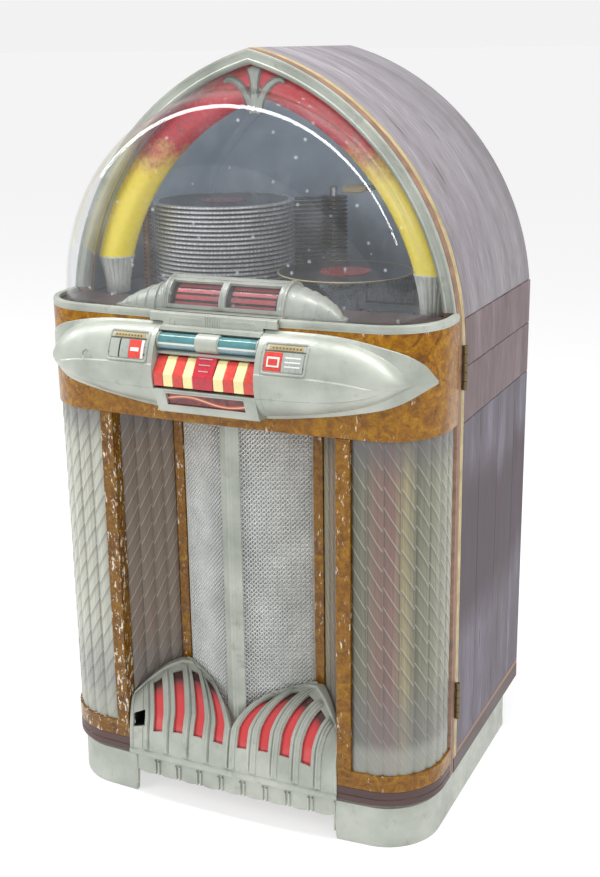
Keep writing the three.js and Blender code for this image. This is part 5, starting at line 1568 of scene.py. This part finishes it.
def nose_section(x):
    """Closed outline of the nose at x: flange, two stepped slopes and the raised spear between them."""
    back = nose_back(x)
    edge = 3.2 * (1 - 0.75 * smooth((x - 345) / 36))
    face = back - edge
    top, foot = curve_through(NOSE_TOP, x), curve_through(NOSE_FOOT, x)
    live = clamp((BODY_TIP_X - x) / 6)
    past = clamp((x - BODY_TIP_X) / 29)
    body_top = curve_through(BODY_TOP, x) if x < BODY_TIP_X else lerp(884, 883.2, past)
    body_foot = curve_through(BODY_FOOT, x) if x < BODY_TIP_X else lerp(882, 882.4, past)
    crown = 3.0 * (1 - smooth((x - BODY_TIP_X) / 28.8)) + 0.3
    spear_live = clamp((318 - x) / 10)
    spear_top, spear_foot = curve_through(SPEAR_TOP, x), curve_through(SPEAR_FOOT, x)
    lip = 1.8 * smooth((109.5 - x) / 2.5)
    step = 2.0 * live

    def body(z, extra=0.0):
        if x >= BODY_TIP_X:
            return face - crown
        return body_surface(x, z, extra + lip)

    if x < BODY_TIP_X:
        upper = [lerp(spear_top, body_top, k) for k in (0.985, 0.94, 0.86, 0.74, 0.6, 0.45, 0.3, 0.15, 0.03)]
        lower = [lerp(body_foot, spear_foot, k) for k in (0.98, 0.85, 0.7, 0.52, 0.36, 0.22, 0.1, 0.02)]
        middle = [spear_top, lerp(spear_top, RIDGE_Z, 0.5), min(RIDGE_Z, spear_top - 0.2),
                  lerp(RIDGE_Z, spear_foot, 0.5), spear_foot]
    else:
        upper = [body_top] * 9
        lower = [body_foot] * 8
        middle = [lerp(body_top, body_foot, k / 4) for k in range(5)]
    raised = 2.4 * spear_live
    line = [(back, top), (face + 0.8, top), (face, top - 0.8), (face - crown * 0.8, body_top + 1.2 * live),
            (face - crown, body_top + 0.4 * live)]
    line += [(min(body(z), face - crown) - step * 0.35, z) for z in upper]
    line += [(body(z, raised), z - (0.5 * spear_live if k == 0 else 0)) for k, z in enumerate(middle)]
    line += [(min(body(z), face - crown) - step * 0.2, z - (0.8 * spear_live if k == 0 else 0))
             for k, z in enumerate(lower)]
    line += [(face - crown, body_foot - 0.4 * live), (face - crown * 0.8, body_foot - 1.2 * live),
             (face, foot + 0.8), (face + 0.8, foot), (back, foot)]
    return [(x, y, z) for y, z in line]


def selector_noses():
    stations = [POCKET_X, 99, 104, 108, 109, 110] + steps(114, 270, 22) + steps(274, BODY_TIP_X - 0.5, 24)
    stations += [BODY_TIP_X + 0.2] + steps(355, TIP_X, 8)
    nose = loft([nose_section(x) for x in stations])
    return [(nose, SILVER), (mirrored(nose), SILVER)]


def nose_patch(x0, x1, z0, z1, lift, thickness, cols=10, rows=4):
    """A plate that follows the upper slope of the nose."""
    xs, zs = steps(x0, x1, cols), steps(z0, z1, rows)
    front = [[(x, body_surface(x, z, lift), z) for x in xs] for z in zs]
    back = [[(x, body_surface(x, z, lift - thickness), z) for x in xs] for z in zs]
    return wall(front, back)


def label_frame(x0, x1, z0, z1, lift):
    """A raised round-edged frame on the upper slope."""
    corner = rounded(x0, x1, z0, z1, 4.5, 4)
    path = []
    for (xa, za), (xb, zb) in zip(corner, corner[1:] + corner[:1]):
        parts = max(1, round(math.hypot(xb - xa, zb - za) / 8))
        path += [(lerp(xa, xb, k / parts), lerp(za, zb, k / parts)) for k in range(parts)]
    spine = [(x, body_surface(x, z, lift), z) for x, z in path]
    return pipe(spine, 2.1, 10, closed=True, up=(0, -0.8, 0.6))


def labels(side):
    """Label panel of one nose: frame, gold strip, and fields without any lettering."""
    x0, x1 = 112, 190
    z0, z1 = 903, 950
    # The plate under the fields and the ticks use the shaded silver: painted shade round and between the
    # raised parts.
    parts = [(label_frame(x0, x1, z0, z1, 1.0), SILVER), (nose_patch(x0, x1, z0, z1, 0.7, 2.0), SILVER_PAINTED_SHADE)]
    parts.append((nose_patch(x0 + 8, x1 - 8, 940.5, 947, 1.5, 1.5), GOLD))
    for k in range(9):
        tick = x0 + 14 + k * 6.2
        parts.append((nose_patch(tick, tick + 3.4, 942.3, 945.0, 1.8, 1.0, 1, 1), SILVER_PAINTED_SHADE))
    if side < 0:
        fields = [(118, 123, WHITE), (123.6, 147, RED), (147.6, 165, PLATE), (168, 186, SILVER)]
    else:
        fields = [(115.5, 147, RED), (147.6, 186, PLATE)]
    for a, b, finish in fields:
        parts.append((nose_patch(a, b, 907.5, 937, 2.0, 2.2), finish))
    if side < 0:
        # painted shade: a black strip in the gap between two fields.
        parts.append((nose_patch(165.4, 167.6, 906.5, 938, 1.1, 1.0, 1, 4), PAINTED_SHADE_BLACK))
        parts.append((nose_patch(127, 143.6, 919, 925, 2.5, 1.0), WHITE))
    else:
        parts.append((nose_patch(120, 143, 914, 930, 2.5, 1.0), WHITE))
        parts.append((nose_patch(123, 140, 917, 927, 2.9, 1.0), RED))
        for z in (915, 922, 929):
            parts.append((nose_patch(153, 181, z, z + 2.2, 2.3, 1.0), WHITE))
    return [(sided(solid, side), finish) for solid, finish in parts]


def selector_centre():
    """Pocket between the noses: lower panel with its window, back wall, tubes, saddle and ledge."""
    w = POCKET_X - 0.2
    back = nose_back(0)
    rear = [(back, 811), (back, 964), (POCKET_Y, 964), (POCKET_Y, 861), (-186, 857), (-200, 857), (-200, 812)]
    parts = [(prism(rear, -w, w, "x"), SILVER)]
    xs = [-w, -86, -79, -77, -76] + steps(-75, 75, 10) + [76, 77, 79, 86, w]
    zs = [811.5, 813, 816, 823, 825.4, 826.6, 827.4] + steps(828, 849, 3) + [849.6, 850.4, 851.6, 854, 857]

    def panel(x, z):
        t = (z - 811.5) / (857 - 811.5)
        y = lerp(-207.5, -225.5, t ** 0.8)
        band = smooth((z - 822.5) / 2.5) * smooth((854.5 - z) / 2.5) if 823 <= z <= 854 else 0
        raised = 1.6 * band * (1 - smooth((abs(x) - 80) / 5))
        return x, y - raised, z

    front = [[panel(x, z) for x in xs] for z in zs]
    behind = [[(x, -200.5, z) for x in xs] for z in zs]

    def keep(r, c):
        x, z = (xs[c] + xs[c + 1]) / 2, (zs[r] + zs[r + 1]) / 2
        return not (abs(x) < 76 and 827.4 < z < 849.6)

    parts.append((wall(front, behind, keep), SILVER))
    parts.append((prism([(-205, 826), (-213, 826), (-216.5, 851), (-205, 851)], -77, 77, "x"), FLAME))
    parts.append((prism([(POCKET_Y + 1, 914), (-205, 914), (-209.5, 916.5), (-208, 920), (-196, 922.5),
                         (POCKET_Y + 1, 923)],
                        -w, w, "x"), SILVER))
    parts.append((prism([(POCKET_Y + 1, 952), (-190, 951), (-196, 955), (-194, 961), (POCKET_Y + 1, 964)],
                        -w, w, "x"), SILVER))
    for side in (-1, 1):
        x0, x1, y, z, r = 21.5, 96, -196, 936.5, 14.2
        ends = (x0, x1) if side > 0 else (-x1, -x0)
        for low, high, finish in ((-8, 188, TEAL), (188, 352, PALE_TEAL)):
            parts.append((prism(arc(y, z, r, steps(low, high, 18)), *ends, "x"), finish))
        # painted highlight: a white sliver along the front of each tube.
        shine = arc(y, z, r + 0.35, (181, 186, 190, 195))
        parts.append((prism(shine + [(y - r * 0.9, z)], ends[0] + 1, ends[1] - 1, "x"), WHITE))
        for k in range(17):
            x = ends[0] + 3 + k * (x1 - x0 - 6) / 16
            thread = [(x, *p) for p in arc(y, z, r + 0.25, steps(200, 245, 5))]
            parts.append((pipe(thread, 0.7, 6, up=(1, 0, 0)), PALE_TEAL))
        for x in ends:
            ring = [(x, *p) for p in circle(y, z, r + 0.8)]
            parts.append((pipe(ring, 1.3, 8, closed=True, up=(1, 0, 0)), SILVER))
    saddle = [(POCKET_Y + 1, 922)] + arc(-196, 936.5, 17, steps(245, 95, 14)) + [(POCKET_Y + 1, 954)]
    parts.append((prism(saddle, -20.5, 20.5, "x"), SILVER))
    return parts


def selector():
    parts = selector_noses() + selector_centre() + labels(-1) + labels(1)
    x, z = -236, 905
    ring = [(a, body_surface(x, b, 0.3), b) for a, b in circle(x, z, 9.5, 36)]
    parts.append((pipe(ring, 1.4, 8, closed=True, up=(0, 1, 0)), SILVER))
    make("selector_shell", parts, "front_door", ["selector_casting"], crease=24)
    knob = [(0, -202), (7.2, -202), (7.2, -218.6), (6.4, -220.4), (4.6, -221), (3.4, -220.2), (0, -220)]
    make("return_button", [(revolve(knob, (x, 0, z), "y", 36), STEEL)], "coin_return_button",
         ["coin_return_button"])


KEY_PROFILE = [(-191, 912), (-205, 911), (-228, 884), (-226, 862), (-191, 861)]
BAR_PROFILE = [(-191, 922), (-206, 921), (-229, 884), (-227, 862), (-191, 861)]


def keys():
    pitch, width, bar = 19.6, 18.9, 38.6
    red_keys = (0, 2, 5, 7)
    for index in range(8):
        side = -1 if index < 4 else 1
        rank = 4 - index if index < 4 else index - 3
        x = side * (bar / 2 + rank * pitch - width / 2)
        finish, slot = (RED, "red_plastic") if index in red_keys else (YELLOW, "cream_plastic")
        key = prism(KEY_PROFILE, x - width / 2, x + width / 2, "x")
        number = index + 1
        make(f"key_cap_{number}", [(key, finish)], f"selection_key_{number}",
             [f"selection_key_{number}"], bevel=1.1, segments=3)
    cap = prism(BAR_PROFILE, -bar / 2, bar / 2, "x")
    plaques = []
    for k, share in enumerate((0.22, 0.48, 0.74)):
        y, z = lerp(-206, -229, share), lerp(921, 884, share)
        plaques.append((moved(box(-13 + 2 * k, 13 - 2 * k, -0.5, 0.5, -2, 2),
                              lambda p, y=y, z=z: (p.x, y - 0.35 + p.z * -0.528 - 0.1, z + p.z * 0.849)),
                        WHITE))
    make("bar_cap", [(cap, CRIMSON)] + plaques, "program_bar", ["program_bar"],
         bevel=0.9, segments=2)


# ---- title barrel ---------------------------------------------------------------------------
def title_housing():
    floor = DOME_FOOT + GAP
    ledge_half, bead_y = 123, -186.2

    def ring_point(r, deg):
        return arc(DRUM_Y, DRUM_Z, r, [deg])[0]

    xs = [-118, -110, -107.5, -106] + steps(-105, -7, 4) + [-6, -4.5, 0, 4.5, 6]
    xs += steps(7, 105, 4) + [106, 107.5, 110, 118]
    degs = steps(0, 112, 16) + [114, 116.5, 118, 119.5] + steps(122, 168, 12) + [170.5, 172, 173.5, 176, 180]

    def shell(x, deg, r):
        near_x = min(abs(abs(x) - 106), abs(abs(x) - 6)) if abs(x) <= 110 else 9
        inside = 114 <= deg <= 176
        bead = 1.3 * smooth((4 - near_x) / 2.5) * inside
        y, z = ring_point(r + bead * (r > 48), deg)
        return x, y, z

    front = [[shell(x, d, 50.5) for x in xs] for d in degs]
    back = [[shell(x, d, 46) for x in xs] for d in degs]

    def keep(r, c):
        x, d = (xs[c] + xs[c + 1]) / 2, (degs[r] + degs[r + 1]) / 2
        return not (6 < abs(x) < 106 and 118 < d < 172)

    parts = [(wall(front, back, keep), SILVER)]
    for side in (-1, 1):
        cheek = arc(DRUM_Y, DRUM_Z, 51.5, steps(-8, 188, 30))
        parts.append((prism(cheek, *((110, 119) if side > 0 else (-119, -110)), "x"), SILVER))
        groove = [(side * 113.6, *ring_point(52, d)) for d in steps(20, 178, 30)]
        parts.append((pipe(groove, 0.9, 8, up=(1, 0, 0)), SILVER))
    stud = revolve([(0, -1.4), (1.4, -0.8), (1.8, 0), (1.4, 0.8), (0, 1.4)], (0, 0, 0), "z", 12)
    parts += [(shifted(stud, (k - 5) * 4.4, *ring_point(51, 108)), SILVER) for k in range(11)]
    spine = [(x, *ring_point(50.8, 106)) for x in steps(-108, 108, 12)]
    parts.append((pipe(spine, 1.2, 8, up=(0, 0, 1)), SILVER))
    ledge = [(-182, floor), (-182, SILL_TOP - 1), (-181, SILL_TOP), (-148, SILL_TOP), (-148, floor)]
    parts.append((prism(ledge, -ledge_half, ledge_half, "x"), SILVER))
    parts.append((box(-118, 118, DRUM_Y + 45, DRUM_Y + 52, floor, DRUM_Z + 1), SILVER))
    parts.append((prism([(-178.9, 968), (-185, 968), (-186, 969), (-186, 982), (-185, SILL_TOP - 0.6),
                         (-178.9, SILL_TOP)],
                        -ledge_half, ledge_half, "x"), SILVER))
    parts.append((prism([(-183.6, 948), (-185.4, 948), (-186, 949), (-186, 969), (-183.6, 970)], -97, 97,
                        "x"), SILVER))
    for side in (-1, 1):
        for z0, z1, x0, x1, turn in ((976, 956, 20, 84, 6), (971.5, 962, 20, 74, 4)):
            corner = arc(x1 - turn, z0 - turn, turn, (60, 30, 0))
            bead = [(x0, z0), (x1 - turn, z0)] + corner + [(x1, z1 + 1), (x1, z1)]
            for line in (bead, [(x0, z1 - 1), (x1 - 8, z1 - 1)]):
                path = [(side * x, bead_y, z) for x, z in line]
                parts.append((pipe(path, 0.8, 8, up=(0, 1, 0)), SILVER))
    for k in range(7):
        x = (k - 3) * 4.6
        parts.append((pipe([(x, bead_y, 949.5), (x, bead_y, 982)], 1.0, 8, up=(0, 1, 0)), SILVER))
    for side in (-1, 1):
        parts += [(sided(solid, side), SILVER) for solid in title_wing(floor, side)]
    make("title_shell", parts, "front_door", ["title_housing"], crease=30)
    drum = revolve([(0, -104), (39, -104), (39, 104), (0, 104)], (0, DRUM_Y, DRUM_Z), "x", 48)
    axle = revolve([(0, -108), (5, -108), (5, 108), (0, 108)], (0, DRUM_Y, DRUM_Z), "x", 20)
    # The drum is in the painted-shade black: painted shade between the cards.
    strips = [(drum, PAINTED_SHADE_BLACK), (axle, STEEL)]
    for k in range(20):
        a0 = 18 * k + 4
        for x0, x1 in ((-98, -12), (12, 98)):
            turns = [a0 + d for d in (0, 4, 8, 11.5)]
            card = arc(DRUM_Y, DRUM_Z, DRUM_RADIUS, turns) + arc(DRUM_Y, DRUM_Z, DRUM_RADIUS - 2, turns[::-1])
            strips.append((prism(card, x0, x1, "x"), STRIP))
    make("title_cards", strips, "title_drum", ["title_drum"], crease=25)


def title_wing(floor, side):
    """Scalloped wing beside the barrel: stepped shells that shrink to a blunt nose, on a flat foot."""
    rings = []
    shells = 5
    for k in range(shells):
        for f in (0.0, 0.07, 0.16, 0.5, 0.84, 0.93, 1.0):
            t = (k + f) / shells
            size = lerp((1 - t) ** 0.82, math.sqrt(max(0.0, 1 - t * t)), 0.25 if side < 0 else 0.8)
            size = max(0.06, size)
            step = 1 + 0.075 * smooth(f / 0.07) * (1 - f)
            x = lerp(114, 219, t)
            middle = DRUM_Y - 26 * t
            rings.append([(x, middle + 46 * size * step * math.cos(math.radians(d)),
                           floor + 2 + 49 * size * step * math.sin(math.radians(d)))
                          for d in steps(0, 180, 26)])
    foot = prism([(112, DRUM_Y - 51), (150, DRUM_Y - 53), (200, DRUM_Y - 46), (222, DRUM_Y - 36),
                  (224, DRUM_Y - 28), (222, DRUM_Y - 12), (190, DRUM_Y + 20), (112, DRUM_Y + 50)], floor,
                  floor + 5)
    return [loft(rings), foot]


# ---- door fittings --------------------------------------------------------------------------
def fittings():
    lock_y, z = (FRAME_FRONT + DOOR_BACK) / 2, 878
    barrel = revolve([(0, -390.3), (9.5, -390.3), (9.5, -392), (8, -392.6), (7.6, -396.4), (6.6, -397.5),
                      (0, -397.5)],
                     (0, lock_y, z), "x", 36)
    tab = box(-399.5, -393, lock_y - 2, lock_y + 2, z - 6, z + 6)
    make("lock_knob", [(barrel, BRASS), (tab, BRASS)], "door_lock", ["door_lock"],
         bevel=0.5)
    x, radius = 395, 4.5
    for where, z0, z1 in (("upper", 845, 925), ("lower", 207, 281)):
        height = (z1 - z0) / 5
        for owner, body, first, leaf_y in (("cabinet", "cabinet", 0, (-1.3, -0.3)),
                                           ("door", "front_door", 1, (-2.7, -1.7))):
            parts = []
            for k in range(first, 5, 2):
                low, high = z0 + k * height + 0.4, z0 + (k + 1) * height - 0.4
                knuckle = [(2.4, low), (radius - 0.5, low), (radius, low + 0.5), (radius, high - 0.5),
                           (radius - 0.5, high), (2.4, high)]
                parts.append((hoop(knuckle, x, 0, 28), BRASS))
                parts.append((box(HALF_WIDTH - 1, x - 2.6, *leaf_y, low, high), BRASS))
            parts.append((box(HALF_WIDTH - 26, HALF_WIDTH, *leaf_y, z0 + 0.4, z1 - 0.4), BRASS))
            if owner == "cabinet":
                parts.append((revolve([(0, z0 + 1), (2, z0 + 1), (2, z1 - 1), (0, z1 - 1)], (x, 0, 0), "z",
                                      20), BRASS))
            make(f"hinge_{owner}_{where}", parts, body, [f"hinge_leaf_{owner}_{where}"])


def plain_nodes():
    """Flat boards inside the cabinet keep their CAD shape and take a finish."""
    for node, finish in (("cabinet_floor", MAHOGANY), ("speaker_baffle", MAHOGANY),
                         ("mechanism_shelf", SLATE_PAINTED_LIGHT)):
        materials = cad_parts[node].data.materials
        materials.clear()
        materials.append(finish)


# ---- the machine ----------------------------------------------------------------------------
for build in (base_casting, side_panels, arch_top, seam_trim, rear_covers, lower_works, record_changer,
              mechanism, arch_light,
              door_frame, waistband, dome_frame, dome_sill, dome, burl_frames, pilasters, grille,
              shell_casting, selector, keys, title_housing, fittings, plain_nodes):
    build()


# ---- camera, floor and light ----------------------------------------------------------------
def place_camera():
    yaw, pitch, roll = (math.radians(a) for a in (24.627, 16.641, -0.816))
    forward = Vector((-math.sin(yaw) * math.cos(pitch), math.cos(yaw) * math.cos(pitch), -math.sin(pitch)))
    level = Vector((math.cos(yaw), math.sin(yaw), 0))
    up = level.cross(forward)
    right = level * math.cos(roll) + up * math.sin(roll)
    up = -level * math.sin(roll) + up * math.cos(roll)
    lens = bpy.data.cameras.new("camera")
    lens.lens = 54.32
    lens.sensor_width = 36
    lens.clip_end = 500
    camera = bpy.data.objects.new("camera", lens)
    turn = Matrix((right, up, -forward)).transposed().to_4x4()
    camera.matrix_world = Matrix.Translation(Vector((1.0641, -2.2569, 1.4292))) @ turn
    bpy.context.scene.collection.objects.link(camera)
    bpy.context.scene.camera = camera


AMBIENT = 0.6
FLOOR_GLOW = 0.62


def area_light(name, place, target, size, power, mirrored_in_gloss=True):
    data = bpy.data.lights.new(name, "AREA")
    data.shape = "RECTANGLE"
    data.size, data.size_y = size
    data.energy = power
    lamp = bpy.data.objects.new(name, data)
    lamp.location = place
    lamp.visible_glossy = mirrored_in_gloss
    lamp.rotation_euler = (Vector(target) - Vector(place)).to_track_quat("-Z", "Y").to_euler()
    bpy.context.scene.collection.objects.link(lamp)


def studio():
    floor_mesh = bpy.data.meshes.new("floor")
    reach = 300
    floor_mesh.from_pydata([(-reach, -reach, 0), (reach, -reach, 0), (reach, reach, 0), (-reach, reach, 0)],
                           [], [[0, 1, 2, 3]])
    floor = bpy.data.objects.new("floor", floor_mesh)
    bpy.context.scene.collection.objects.link(floor)
    paper = Finish("pale_floor", (0.45, 0.45, 0.45), 0.9, glow=FLOOR_GLOW)
    paper.shader.inputs["Emission Color"].default_value = (1, 1, 1, 1)
    paper.shader.inputs["Specular IOR Level"].default_value = 0.1
    floor_mesh.materials.append(paper.material)
    world = bpy.data.worlds.new("studio")
    bpy.context.scene.world = world
    world.use_nodes = True
    tree = world.node_tree
    room = tree.nodes["Background"]
    room.inputs["Color"].default_value = (1, 1, 1, 1)
    room.inputs["Strength"].default_value = AMBIENT
    seen = tree.nodes.new("ShaderNodeBackground")
    seen.inputs["Color"].default_value = (1, 1, 1, 1)
    seen.inputs["Strength"].default_value = 0.45 * AMBIENT + FLOOR_GLOW
    path = tree.nodes.new("ShaderNodeLightPath")
    pick = mix_shaders(tree, path.outputs["Is Camera Ray"], room.outputs[0], seen.outputs[0])
    tree.links.new(pick, tree.nodes["World Output"].inputs["Surface"])
    area_light("key", (-2.4, -3.2, 3.2), (0, 0, 0.9), (2.0, 2.0), 70, mirrored_in_gloss=False)
    area_light("fill", (3.4, -2.2, 2.2), (0, 0, 0.8), (2.0, 2.0), 18, mirrored_in_gloss=False)
    area_light("overhead_strip", (-0.5, -0.41, 3.2), (-0.5, -0.3, 1.1), (14.0, 0.26), 225)
    bpy.context.scene.view_settings.view_transform = "Standard"


place_camera()
studio()
